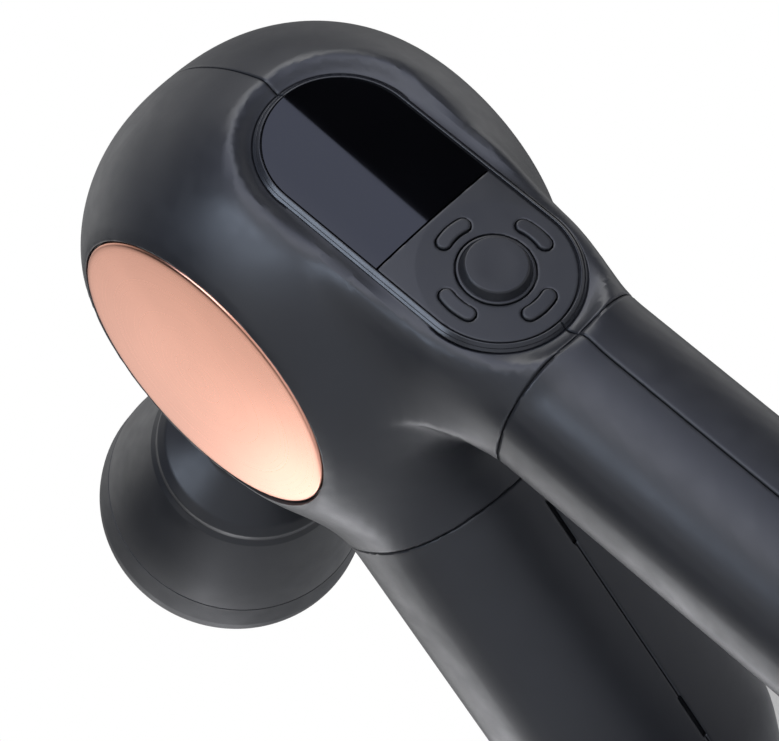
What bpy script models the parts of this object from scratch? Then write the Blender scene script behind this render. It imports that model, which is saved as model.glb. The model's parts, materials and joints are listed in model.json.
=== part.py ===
"""Handheld percussive massager with a three-arm loop handle.

Metres, +Z up. The massager stands on the flat under its base arm, which is at z = 0, and its hammer
strikes along -X. The lateral axis Y is also the motor's axis. The head is a barrel turned about that
axis; a slim rear arm and a thick front arm leave it downwards, and a base arm closes the loop.
"""

import math

import bmesh
import bpy
from mathutils import Matrix, Vector

# --- Driving dimensions -------------------------------------------------------------------------
MOTOR_AXIS = Vector((0.0343, 0.0, 0.176))  # centre of the head, on the motor's axis
HEAD_RADIUS = 0.045  # barrel at the middle
HEAD_HALF_WIDTH = 0.032  # barrel out to its cap rim
RIM_RADIUS = 0.0305  # barrel at its cap rim
BARREL_SIDE_POWER = 2.35  # superellipse powers of the barrel's outline
BARREL_CROWN_POWER = 1.23
CAP_RADIUS = 0.0297
CAP_SINK = 0.0011  # depth of the pocket a cap sits in
WALL = 0.0024
GAP = 0.0003  # between neighbouring pieces
FAR = 0.25  # longer than the whole object, for cutters

REAR_ARM_ANGLE = math.radians(-80.9)  # directions in the XZ plane, from +X towards +Z
FRONT_ARM_ANGLE = math.radians(-118.7)
REAR_ARM_OFFSET = 0.0282  # axis of the arm from the motor's axis
FRONT_ARM_OFFSET = 0.0006
REAR_ARM = (0.0172, 0.0161)  # half width along Y, half depth in the XZ plane
FRONT_ARM = (0.0250, 0.0230)
BASE_ARM = (0.0190, 0.0180)
ARM_POWER = 2.5  # superellipse power of the arms' sections
BASE_HEIGHT = 0.0155  # base arm's axis above the floor
REAR_CORNER_RADIUS = 0.026  # of the handle's axis line
FRONT_CORNER_RADIUS = 0.024
REAR_RING = 0.0549  # head to grip joint, from the motor's axis along each arm
FRONT_RING = 0.0475
FRONT_TAPER_START = 0.124  # along the front arm
FRONT_TAPER_END = 0.140

PANEL_ANGLE = math.radians(-80.3)  # direction down the control panel
PANEL_FACE = 0.04245  # top of window and plate, from the motor's axis
PANEL_TOP = -0.0121  # ends of the panel, along it
PANEL_END = 0.0516
PANEL_HALF_WIDTH = 0.0143
PANEL_SPLIT = 0.0230  # between window and control plate
PANEL_LIP = 0.0014  # width of the housing's rim around the panel
PLATE_THICKNESS = 0.0014
BUTTON_CENTRE = PANEL_END - PANEL_HALF_WIDTH
BUTTON_RADIUS = 0.0068
BUTTON_RISE = 0.0016
KEY_ORBIT = 0.0100  # middle line of the four curved keys
KEY_HALF_WIDTH = 0.0013
KEY_HALF_ANGLE = math.radians(14)
KEY_RISE = 0.0004
KEY_BOTTOM = PANEL_FACE - 0.0026

CRANK_THROW = 0.006  # half the 12 mm stroke
ROD_LENGTH = 0.032
SHAFT_RADIUS = 0.006
SHAFT_TIP = 0.106  # distances ahead of the motor's axis, along -X
NOSE_END = 0.066
ATTACHMENT_START = 0.079
PAD_BACK = 0.119
PAD_FRONT = 0.134
PAD_RADIUS = 0.0304

CELL_RADIUS = 0.0090
CELL_LENGTH = 0.065
CELL_PITCH = 0.0185
CELL_START = 0.052  # along the front arm

REAR_DIR = Vector((math.cos(REAR_ARM_ANGLE), 0, math.sin(REAR_ARM_ANGLE)))
FRONT_DIR = Vector((math.cos(FRONT_ARM_ANGLE), 0, math.sin(FRONT_ARM_ANGLE)))
REAR_OUT = Vector((-REAR_DIR.z, 0, REAR_DIR.x))  # outward normal of the rear arm
FRONT_IN = Vector((-FRONT_DIR.z, 0, FRONT_DIR.x))  # towards the finger opening


# --- Materials ----------------------------------------------------------------------------------
def make_material(name, colour, roughness, metallic=0.0):
    material = bpy.data.materials.new(name)
    material.use_nodes = True
    shader = material.node_tree.nodes["Principled BSDF"]
    shader.inputs["Base Color"].default_value = (*colour, 1.0)
    shader.inputs["Roughness"].default_value = roughness
    shader.inputs["Metallic"].default_value = metallic
    material.diffuse_color = (*colour, 1.0)
    return material


def make_materials():
    return {
        "shell": make_material("shell", (0.060, 0.064, 0.074), 0.42),
        "grip": make_material("grip", (0.054, 0.057, 0.066), 0.55),
        "copper": make_material("copper", (0.86, 0.50, 0.38), 0.32, 0.9),
        "glass": make_material("glass", (0.006, 0.006, 0.008), 0.06),
        "plate": make_material("plate", (0.045, 0.048, 0.056), 0.50),
        "button": make_material("button", (0.038, 0.040, 0.047), 0.45),
        "steel": make_material("steel", (0.62, 0.63, 0.65), 0.28, 1.0),
        "alloy": make_material("alloy", (0.70, 0.71, 0.72), 0.40, 1.0),
        "winding": make_material("winding", (0.60, 0.28, 0.12), 0.45, 0.6),
        "board": make_material("board", (0.03, 0.16, 0.08), 0.50),
        "cell": make_material("cell", (0.10, 0.24, 0.50), 0.40),
        "frame_plastic": make_material("frame_plastic", (0.10, 0.10, 0.11), 0.60),
        "rubber": make_material("rubber", (0.020, 0.020, 0.022), 0.80),
        "foam": make_material("foam", (0.040, 0.042, 0.048), 0.75),
    }


# --- Scene helpers ------------------------------------------------------------------------------
def clear_scene():
    for obj in list(bpy.data.objects):
        bpy.data.objects.remove(obj, do_unlink=True)


def finish_object(name, bm, material=None, parent=None, matrix=None, smooth=35):
    """Turns bm into an object; a piece with no material is a guide or cutter."""
    bmesh.ops.recalc_face_normals(bm, faces=bm.faces)
    mesh = bpy.data.meshes.new(name)
    bm.to_mesh(mesh)
    bm.free()
    if smooth:
        mesh.shade_smooth()
        mesh.set_sharp_from_angle(angle=math.radians(smooth))
    obj = bpy.data.objects.new(name, mesh)
    bpy.context.scene.collection.objects.link(obj)
    if material is None:
        obj.hide_render = True
        obj.display_type = "WIRE"
    else:
        mesh.materials.append(material)
    obj.parent = parent
    if matrix is not None:
        obj.matrix_local = matrix
    return obj


def place_copies(name, bm, material, places, parent=None):
    """One object at each place, all sharing bm's mesh."""
    first = finish_object(f"{name}_1", bm, material, parent, places[0])
    for number, place in enumerate(places[1:], 2):
        copy = first.copy()
        copy.name = f"{name}_{number}"
        copy.matrix_local = place
        bpy.context.scene.collection.objects.link(copy)


def make_frame(name, location, x_axis=Vector((1, 0, 0)), z_axis=Vector((0, 0, 1))):
    """An empty whose local X and Z axes point along the given directions."""
    y_axis = z_axis.cross(x_axis)
    rotation = Matrix((x_axis, y_axis, z_axis)).transposed().to_4x4()
    empty = bpy.data.objects.new(name, None)
    bpy.context.scene.collection.objects.link(empty)
    empty.matrix_world = Matrix.Translation(location) @ rotation
    return empty


def combine(obj, operation, tool, solver="EXACT"):
    modifier = obj.modifiers.new(f"{operation.lower()}_{tool.name}", "BOOLEAN")
    modifier.operation = operation
    modifier.solver = solver
    modifier.object = tool
    return obj


# --- Shape helpers ------------------------------------------------------------------------------
def signed_power(value, power):
    return math.copysign(abs(value) ** power, value)


def superellipse(half_width, half_depth, power, count):
    """Points (across, up) around a superellipse."""
    points = []
    for i in range(count):
        angle = math.tau * (i + 0.5) / count
        across = half_width * signed_power(math.cos(angle), 2 / power)
        up = half_depth * signed_power(math.sin(angle), 2 / power)
        points.append((across, up))
    return points


def arc(centre, radius, start, end, steps):
    """Points along an arc, angles in degrees, both ends included."""
    points = []
    for i in range(steps + 1):
        angle = math.radians(start + (end - start) * i / steps)
        points.append((centre[0] + radius * math.cos(angle), centre[1] + radius * math.sin(angle)))
    return points


def lathe(profile, segments=32, bm=None, matrix=None):
    """Turns a closed (radius, height) outline about Z."""
    turned = bmesh.new()
    corners = [turned.verts.new((radius, 0, height)) for radius, height in profile]
    edges = [turned.edges.new((corners[i - 1], corners[i])) for i in range(len(corners))]
    bmesh.ops.spin(turned, geom=corners + edges, cent=(0, 0, 0), axis=(0, 0, 1), dvec=(0, 0, 0),
                   angle=math.tau, steps=segments, use_merge=True)
    bmesh.ops.remove_doubles(turned, verts=turned.verts, dist=1e-6)
    bmesh.ops.dissolve_degenerate(turned, edges=turned.edges, dist=1e-7)
    loose = [e for e in turned.edges if not e.link_faces]
    bmesh.ops.delete(turned, geom=loose, context="EDGES")
    bmesh.ops.recalc_face_normals(turned, faces=turned.faces)
    return add_to(bm, turned, matrix)


def add_to(bm, piece, matrix=None):
    """Moves piece by matrix and adds it to bm as a separate body, or returns it when there is no bm."""
    if matrix is not None:
        piece.transform(matrix)
    if bm is None:
        return piece
    mesh = bpy.data.meshes.new("part_of_a_group")
    piece.to_mesh(mesh)
    piece.free()
    bm.from_mesh(mesh)
    bpy.data.meshes.remove(mesh)
    return bm


def ring(inner, outer, low, high, segments=32, bm=None, matrix=None):
    return lathe([(inner, low), (outer, low), (outer, high), (inner, high)], segments, bm, matrix)


def rod(radius, low, high, segments=24, bm=None, matrix=None):
    return lathe([(0, low), (radius, low), (radius, high), (0, high)], segments, bm, matrix)


def prism(outline, low, high, bm=None, matrix=None):
    """Extrudes a closed (x, y) outline from z = low to z = high."""
    piece = bmesh.new()
    face = piece.faces.new([piece.verts.new((x, y, low)) for x, y in outline])
    grown = bmesh.ops.extrude_face_region(piece, geom=[face])["geom"]
    moved = [v for v in grown if isinstance(v, bmesh.types.BMVert)]
    bmesh.ops.translate(piece, verts=moved, vec=(0, 0, high - low))
    bmesh.ops.recalc_face_normals(piece, faces=piece.faces)
    return add_to(bm, piece, matrix)


def box(low, high, bm=None, matrix=None):
    outline = [(low[0], low[1]), (high[0], low[1]), (high[0], high[1]), (low[0], high[1])]
    return prism(outline, low[2], high[2], bm, matrix)


def stadium(start, end, half_width, steps=10, square_start=False, square_end=False):
    """Outline along X from start to end with round ends, or square ones."""
    points = []
    if square_end:
        points += [(end, -half_width), (end, half_width)]
    else:
        points += arc((end - half_width, 0), half_width, -90, 90, steps)
    if square_start:
        points += [(start, half_width), (start, -half_width)]
    else:
        points += arc((start + half_width, 0), half_width, 90, 270, steps)
    return points


def bean(orbit, half_width, half_angle, steps=6, end_steps=4):
    """Curved key outline, centred on +X at radius orbit from the origin."""
    half = math.degrees(half_angle)
    outline = arc((0, 0), orbit + half_width, -half, half, steps)
    for side, first in ((1, half), (-1, half + 180)):
        tip = (orbit * math.cos(half_angle), side * orbit * math.sin(half_angle))
        if side == 1:
            outline += arc(tip, half_width, first, first + 180, end_steps)[1:-1]
            outline += arc((0, 0), orbit - half_width, half, -half, steps)
        else:
            outline += arc(tip, half_width, 180 - half, 360 - half, end_steps)[1:-1]
    return outline


ALONG_Y = Matrix.Rotation(math.radians(-90), 4, "X")  # local Z to +Y
ALONG_STROKE = Matrix.Rotation(math.radians(-90), 4, "Y")  # local Z to -X


# --- Housing forms ------------------------------------------------------------------------------
def barrel_outline(inset, pocket=True, steps=6):
    """Closed outline (radius, height) of the head's barrel, shrunk by inset; pockets take the caps."""
    half_width = HEAD_HALF_WIDTH - inset
    crown = HEAD_RADIUS - RIM_RADIUS
    side = []
    for i in range(steps + 1):
        angle = math.pi / 2 * i / steps
        height = half_width * math.cos(angle) ** (2 / BARREL_SIDE_POWER) if i < steps else 0.0
        radius = RIM_RADIUS - inset + crown * math.sin(angle) ** (2 / BARREL_CROWN_POWER)
        side.append((radius, height))
    end = [(0, half_width)]
    if pocket:
        floor = half_width - CAP_SINK
        end = [(0, floor), (CAP_RADIUS + GAP, floor), (CAP_RADIUS + GAP, half_width)]
    top = end + side
    return top + [(r, -h) for r, h in reversed(top[:-1])]


def handle_stations(inset):
    """Axis points, tangents and half sizes of the looped handle, from the head round to the head."""
    rear_start = MOTOR_AXIS + REAR_OUT * REAR_ARM_OFFSET
    front_start = MOTOR_AXIS + FRONT_IN * FRONT_ARM_OFFSET
    rear_run = (rear_start.z - BASE_HEIGHT) / -REAR_DIR.z
    front_run = (front_start.z - BASE_HEIGHT) / -FRONT_DIR.z
    rear_corner = rear_start + REAR_DIR * rear_run
    front_corner = front_start + FRONT_DIR * front_run
    base_dir = Vector((-1, 0, 0))
    rear_turn = REAR_DIR.angle(base_dir)
    front_turn = base_dir.angle(-FRONT_DIR)
    rear_trim = REAR_CORNER_RADIUS * math.tan(rear_turn / 2)
    front_trim = FRONT_CORNER_RADIUS * math.tan(front_turn / 2)

    def shrunk(size):
        return (size[0] - inset, size[1] - inset)

    def mixed(first, second, share):
        return tuple(a + (b - a) * share for a, b in zip(first, second))

    def turn(start, direction, radius, angle, first, second, steps=5):
        """Stations round a corner that turns from direction towards +Y-handed right."""
        side = Vector((direction.z, 0, -direction.x))
        centre = start + side * radius
        found = []
        for i in range(1, steps + 1):
            spin = Matrix.Rotation(angle * i / steps, 3, "Y")
            point = centre + spin @ (start - centre)
            found.append((point, spin @ direction, mixed(first, second, i / steps)))
        return found

    rear, base, front = shrunk(REAR_ARM), shrunk(BASE_ARM), shrunk(FRONT_ARM)
    stations = [(rear_start, REAR_DIR, rear)]
    arc_start = rear_corner - REAR_DIR * rear_trim
    stations.append((arc_start, REAR_DIR, rear))
    stations += turn(arc_start, REAR_DIR, REAR_CORNER_RADIUS, rear_turn, rear, base)
    arc_start = front_corner - base_dir * front_trim
    stations.append((arc_start, base_dir, base))
    stations += turn(arc_start, base_dir, FRONT_CORNER_RADIUS, front_turn, base, base)
    for reach, size in ((FRONT_TAPER_END, mixed(base, front, 0.08)),
                        ((FRONT_TAPER_START + FRONT_TAPER_END) / 2, mixed(base, front, 0.5)),
                        (FRONT_TAPER_START, mixed(base, front, 0.92)),
                        (FRONT_TAPER_START - 0.006, front),
                        (0.004, front)):
        stations.append((front_start + FRONT_DIR * reach, -FRONT_DIR, size))
    return stations


def sweep(stations, count=20):
    """A closed tube of superellipse sections in planes square to the XZ path."""
    bm = bmesh.new()
    loops = []
    for point, tangent, (half_width, half_depth) in stations:
        up = Vector((-tangent.z, 0, tangent.x))
        loop = []
        for across, rise in superellipse(half_width, half_depth, ARM_POWER, count):
            loop.append(bm.verts.new(point + up * rise + Vector((0, across, 0))))
        loops.append(loop)
    for first, second in zip(loops, loops[1:]):
        for i in range(count):
            bm.faces.new((first[i - 1], first[i], second[i], second[i - 1]))
    bm.faces.new(loops[0])
    bm.faces.new(loops[-1])
    return bm


def nose_outline(inset, end):
    return [(0, 0.020), (0.0210 - inset, 0.020), (0.0210 - inset, 0.040), (0.0175 - inset, end), (0, end)]


def make_form(name, head, inset):
    """The housing as one solid, shrunk by inset: the outer form, or with an inset its cavity."""
    barrel = lathe(barrel_outline(inset, pocket=inset == 0), 36)
    form = finish_object(name, barrel, parent=head, matrix=ALONG_Y)
    handle = finish_object(name + "_handle", sweep(handle_stations(inset)))
    nose = finish_object(name + "_nose", lathe(nose_outline(inset, NOSE_END - inset), 24), parent=head,
                         matrix=ALONG_STROKE @ Matrix.Rotation(math.radians(5), 4, "Z"))
    underside = finish_object(name + "_underside", box((-FAR, -FAR, -FAR), (FAR, FAR, inset)))
    combine(form, "UNION", handle)
    combine(form, "UNION", nose)
    combine(form, "DIFFERENCE", underside)
    return form


def region_outline(on_head, clearance):
    """XZ outline of the head side or the grip side of the two ring joints."""
    rear_mark = MOTOR_AXIS + REAR_DIR * (REAR_RING + clearance)
    front_mark = MOTOR_AXIS + FRONT_DIR * (FRONT_RING + clearance)
    joint = [rear_mark + REAR_OUT * 0.080, rear_mark + REAR_OUT * 0.004,
             front_mark + FRONT_IN * 0.027, front_mark - FRONT_IN * 0.030,
             front_mark - FRONT_IN * 0.030 + Vector((-0.090, 0, -0.045))]
    edge = FAR if on_head else -FAR
    left, right = joint[-1].x - 0.02, joint[0].x + 0.02
    outline = [(p.x, p.z) for p in joint]
    return outline + [(left, edge), (right, edge)]


def region(outline, side):
    """A block standing on an XZ outline, on one side of the middle seam."""
    near = GAP / 2
    low, high = (-FAR, -near) if side < 0 else (near, FAR)
    bm = prism(outline, -high, -low)
    bm.transform(Matrix.Rotation(math.radians(90), 4, "X"))
    return bm


POSTS = [  # screw posts: distance along an arm from the motor's axis, direction, offset, reach along Y
    (0.078, REAR_DIR, REAR_OUT * REAR_ARM_OFFSET, 0.0155),
    (0.138, REAR_DIR, REAR_OUT * REAR_ARM_OFFSET, 0.0155),
    (0.137, FRONT_DIR, FRONT_IN * FRONT_ARM_OFFSET, 0.0185),
    (0.0366, Vector((-0.35, 0, 0.937)), Vector((0, 0, 0)), 0.0208),
    (0.0410, FRONT_DIR, FRONT_IN * -0.012, 0.0204),
]
POST_RADIUS = 0.0030
SCREW_RADIUS = 0.0011
SCREW_HEAD_RADIUS = 0.0021
HEAD_SEAT = 0.0075  # along Y, where the screw heads bear


def post_point(post):
    reach, direction, offset, _ = post
    return MOTOR_AXIS + offset + direction * reach


def group_along_y(posts, shape):
    """One bmesh with a turned piece at each post."""
    bm = bmesh.new()
    for post in posts:
        shape(bm, Matrix.Translation(post_point(post)) @ ALONG_Y, post[3])
    return bm


def make_housing(head, panel, port):
    """The whole hollow housing as a guide, which the four shells are cut from."""
    housing = make_form("housing_form", head, 0.0)
    cavity = make_form("cavity_form", head, WALL)
    posts = finish_object("post_form", group_along_y(POSTS, lambda bm, at, reach: rod(
        POST_RADIUS, -reach, reach, 10, bm, at)))
    lip = PANEL_LIP
    rim = finish_object("panel_rim_form", prism(
        stadium(PANEL_TOP - lip, PANEL_END + lip, PANEL_HALF_WIDTH + lip), 0.0335, PANEL_FACE + 0.0006),
        parent=panel)
    seat = PANEL_FACE - PLATE_THICKNESS - GAP
    pocket = finish_object("panel_pocket_cutter", prism(
        stadium(PANEL_TOP, PANEL_END, PANEL_HALF_WIDTH), seat, 0.060), parent=panel)
    ledge = 0.0016
    well = finish_object("panel_well_cutter", prism(
        stadium(PANEL_TOP + ledge, PANEL_END - ledge, PANEL_HALF_WIDTH - ledge), 0.0305, seat + 0.001),
        parent=panel)
    nose_hole = finish_object("nose_hole_cutter", rod(0.0100, 0.050, 0.080, 24), parent=head,
                              matrix=ALONG_STROKE @ Matrix.Rotation(math.radians(5), 4, "Z"))
    bores = finish_object("screw_bore_cutter", group_along_y(POSTS, lambda bm, at, reach: lathe(
        [(0, -0.0115), (SCREW_RADIUS + GAP, -0.0115), (SCREW_RADIUS + GAP, HEAD_SEAT),
         (SCREW_HEAD_RADIUS + GAP, HEAD_SEAT), (SCREW_HEAD_RADIUS + GAP, 0.040), (0, 0.040)],
        10, bm, at)))
    port_hole = finish_object("port_hole_cutter", prism(
        stadium(-0.0047, 0.0047, 0.0018, 5), -0.012, 0.012), parent=port)
    bosses, boss_bores = bmesh.new(), bmesh.new()
    for place in mount_places():
        rod(0.0032, -0.0305, -0.0193, 10, bosses, place)
        rod(0.0015, -0.0250, -0.0180, 8, boss_bores, place)
    bosses = finish_object("motor_boss_form", bosses, parent=head, matrix=ALONG_Y)
    boss_bores = finish_object("motor_boss_cutter", boss_bores, parent=head, matrix=ALONG_Y)
    combine(housing, "DIFFERENCE", cavity)
    combine(housing, "UNION", posts)
    combine(housing, "UNION", bosses)
    combine(housing, "UNION", rim)
    for cutter in (pocket, well, nose_hole, bores, boss_bores, port_hole):
        combine(housing, "DIFFERENCE", cutter)
    return housing


def make_shells(materials, head, panel, port):
    housing = make_housing(head, panel, port)
    for area, slot, outline in (("head", "shell", region_outline(True, 0.0)),
                                ("grip", "grip", region_outline(False, GAP))):
        for side, side_name in ((-1, "left"), (1, "right")):
            shell = finish_object(f"{area}_shell_{side_name}", region(outline, side), materials[slot])
            # EXACT leaves open edges where the thin joint meets this many-sided housing.
            combine(shell, "INTERSECT", housing, "MANIFOLD")


def make_screws(materials):
    screw = lathe([(0, -0.0105), (SCREW_RADIUS, -0.0105), (SCREW_RADIUS, HEAD_SEAT + GAP),
                   (SCREW_HEAD_RADIUS, HEAD_SEAT + GAP), (SCREW_HEAD_RADIUS, HEAD_SEAT + 0.0021),
                   (0, HEAD_SEAT + 0.0021)], 12)
    places = [Matrix.Translation(post_point(post)) @ ALONG_Y for post in POSTS]
    place_copies("housing_screw", screw, materials["steel"], places)


# --- Side caps ----------------------------------------------------------------------------------
def make_caps(materials, head):
    """Domed metal discs that cover the ends of the barrel."""
    back = HEAD_HALF_WIDTH - CAP_SINK + GAP
    rise, rim = 0.0010, HEAD_HALF_WIDTH + 0.0001
    outline = [(0, back), (CAP_RADIUS, back), (CAP_RADIUS, rim - 0.0004), (CAP_RADIUS - 0.0004, rim)]
    outline += [(CAP_RADIUS * (1 - i / 4), rim + rise * (1 - (1 - i / 4) ** 2)) for i in range(1, 5)]
    for side, side_name in ((-1, "left"), (1, "right")):
        turned = lathe(outline, 40)
        matrix = ALONG_Y if side > 0 else Matrix.Rotation(math.radians(90), 4, "X")
        finish_object(f"side_cap_{side_name}", turned, materials["copper"], head, matrix)


# --- Control panel ------------------------------------------------------------------------------
KEYS = (("key_up", 180), ("key_down", 0), ("key_left", 270), ("key_right", 90))


def make_panel(materials, panel):
    low = PANEL_FACE - PLATE_THICKNESS
    inset = GAP
    window = stadium(PANEL_TOP + inset, PANEL_SPLIT - inset / 2, PANEL_HALF_WIDTH - inset, 12, square_end=True)
    finish_object("display_window", prism(window, low, PANEL_FACE), materials["glass"], panel)
    plate = stadium(PANEL_SPLIT + inset / 2, PANEL_END - inset, PANEL_HALF_WIDTH - inset, 12,
                    square_start=True)
    plate = finish_object("control_plate", prism(plate, low, PANEL_FACE), materials["plate"], panel)
    centre = Matrix.Translation((BUTTON_CENTRE, 0, 0))
    holes = bmesh.new()
    rod(BUTTON_RADIUS + GAP, low - 0.002, PANEL_FACE + 0.002, 32, holes, centre)
    for _, angle in KEYS:
        prism(bean(KEY_ORBIT, KEY_HALF_WIDTH + GAP, KEY_HALF_ANGLE), low - 0.002, PANEL_FACE + 0.002,
              holes, centre @ Matrix.Rotation(math.radians(angle), 4, "Z"))
    combine(plate, "DIFFERENCE", finish_object("panel_hole_cutter", holes, parent=panel))

    top = PANEL_FACE + BUTTON_RISE
    skirt = low - GAP
    profile = [(0, KEY_BOTTOM), (BUTTON_RADIUS + 0.0009, KEY_BOTTOM), (BUTTON_RADIUS + 0.0009, skirt),
               (BUTTON_RADIUS, skirt), (BUTTON_RADIUS, PANEL_FACE + 0.0002),
               (BUTTON_RADIUS - 0.0010, top - 0.0002), (BUTTON_RADIUS - 0.0014, top), (0, top - 0.0002)]
    finish_object("centre_button", lathe(profile, 32), materials["button"], panel, centre)
    for name, angle in KEYS:
        key = prism(bean(KEY_ORBIT, KEY_HALF_WIDTH, KEY_HALF_ANGLE), KEY_BOTTOM, PANEL_FACE + KEY_RISE)
        finish_object(name, key, materials["button"], panel,
                      centre @ Matrix.Rotation(math.radians(angle), 4, "Z"))

    board_top = KEY_BOTTOM - 0.0020
    board = stadium(PANEL_TOP + 0.003, PANEL_END - 0.003, PANEL_HALF_WIDTH - 0.0030, 6)
    finish_object("control_board", prism(board, board_top - 0.0012, board_top), materials["board"], panel)
    mat = rod(KEY_ORBIT + 0.0016, board_top + GAP, board_top + 0.0008, 28)
    mat = finish_object("keypad_mat", mat, materials["rubber"], panel, centre)
    spots = [(0, 0)]
    spots += [(KEY_ORBIT * math.cos(math.radians(a)), KEY_ORBIT * math.sin(math.radians(a)))
              for _, a in KEYS]
    domes = bmesh.new()
    for x, y in spots:
        lathe([(0, board_top + 0.0005), (0.0015, board_top + 0.0005), (0.0012, KEY_BOTTOM - 0.0007),
               (0, KEY_BOTTOM - 0.0007)], 10, domes, Matrix.Translation((x, y, 0)))
    combine(mat, "UNION", finish_object("keypad_dome_form", domes, parent=panel, matrix=centre))
    screen = box((PANEL_TOP + 0.0086, -0.0106, board_top + GAP), (PANEL_SPLIT - 0.0015, 0.0108, low - GAP))
    finish_object("display_module", screen, materials["glass"], panel)


# --- Motor and hammer ---------------------------------------------------------------------------
FRAME_LOW, FRAME_HIGH = -0.0110, -0.0086  # the motor frame's plate, along Y
MOUNT_ORBIT = 0.0275
MOUNT_ANGLES = (35, 125, 235, 325)


def mount_places():
    return [Matrix.Rotation(math.radians(a), 4, "Z") @ Matrix.Translation((MOUNT_ORBIT, 0, 0))
            for a in MOUNT_ANGLES]


def make_motor(materials, head, crank):
    can_low, can_high = -0.0268, -0.0128
    can = [(0.0028, can_low), (0.0225, can_low), (0.0225, can_high), (0.0209, can_high),
           (0.0209, can_low + 0.0016), (0.0028, can_low + 0.0016)]
    finish_object("motor_can", lathe(can, 40), materials["steel"], crank, ALONG_Y)
    finish_object("motor_shaft", rod(0.0025, -0.0272, -0.0040, 16), materials["steel"], crank, ALONG_Y)

    teeth = 12
    outline = []
    for i in range(teeth):
        middle = 360 * i / teeth
        outline += arc((0, 0), 0.0202, middle - 11, middle + 11, 2)
        outline += arc((0, 0), 0.0130, middle + 13, middle + 17, 1)
    stator = finish_object("motor_stator", prism(outline, -0.0238, -0.0140), materials["winding"], head,
                           ALONG_Y)
    combine(stator, "DIFFERENCE", finish_object("stator_bore_cutter", rod(0.0078, -0.03, -0.01, 24),
                                                parent=head, matrix=ALONG_Y))
    finish_object("motor_bearing", ring(0.0028, 0.0065, -0.0150, FRAME_HIGH, 20), materials["steel"],
                  head, ALONG_Y)

    frame = bmesh.new()
    ring(0.0068, 0.0315, FRAME_LOW, FRAME_HIGH, 28, frame)
    frame = finish_object("motor_frame", frame, materials["alloy"], head, ALONG_Y)
    hub = finish_object("frame_hub_form", ring(0.0068, 0.0075, -0.0250, -0.0100, 20), parent=head,
                        matrix=ALONG_Y)
    sleeve = finish_object("frame_sleeve_form", rod(0.0126, 0.0475, 0.0622, 20), parent=head,
                           matrix=ALONG_STROKE)
    rail = finish_object("frame_rail_form", box((-0.0560, -0.0110, -0.0090), (-0.0300, -0.0075, 0.0090)),
                         parent=head)
    sleeve_bore = finish_object("frame_sleeve_cutter", rod(0.0093, 0.0440, 0.0660, 20), parent=head,
                                matrix=ALONG_STROKE)
    screw_holes = bmesh.new()
    for place in mount_places():
        rod(0.0015, -0.014, -0.006, 8, screw_holes, place)
    screw_holes = finish_object("frame_hole_cutter", screw_holes, parent=head, matrix=ALONG_Y)
    combine(frame, "UNION", hub)
    combine(frame, "UNION", rail)
    combine(frame, "UNION", sleeve)
    combine(frame, "DIFFERENCE", sleeve_bore)
    combine(frame, "DIFFERENCE", screw_holes)

    places = [ALONG_Y @ place for place in mount_places()]
    place_copies("vibration_mount", ring(0.0015, 0.0032, -0.0190, FRAME_LOW - GAP, 12),
                 materials["rubber"], places, head)
    screw = lathe([(0, -0.0240), (0.0012, -0.0240), (0.0012, FRAME_HIGH + GAP), (0.0024, FRAME_HIGH + GAP),
                   (0.0024, FRAME_HIGH + 0.0018), (0, FRAME_HIGH + 0.0018)], 12)
    place_copies("frame_screw", screw, materials["steel"], places, head)

    outline = arc((0, 0), 0.0155, 100, 260, 12) + arc((0, 0), 0.0104, 275, 445, 10)
    disc = finish_object("crank_disc", prism(outline, -0.0076, -0.0039), materials["steel"], crank, ALONG_Y)
    bore = finish_object("crank_bore_cutter", rod(0.0028, -0.0090, -0.0030, 16), parent=crank,
                         matrix=ALONG_Y)
    combine(disc, "DIFFERENCE", bore)


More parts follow.
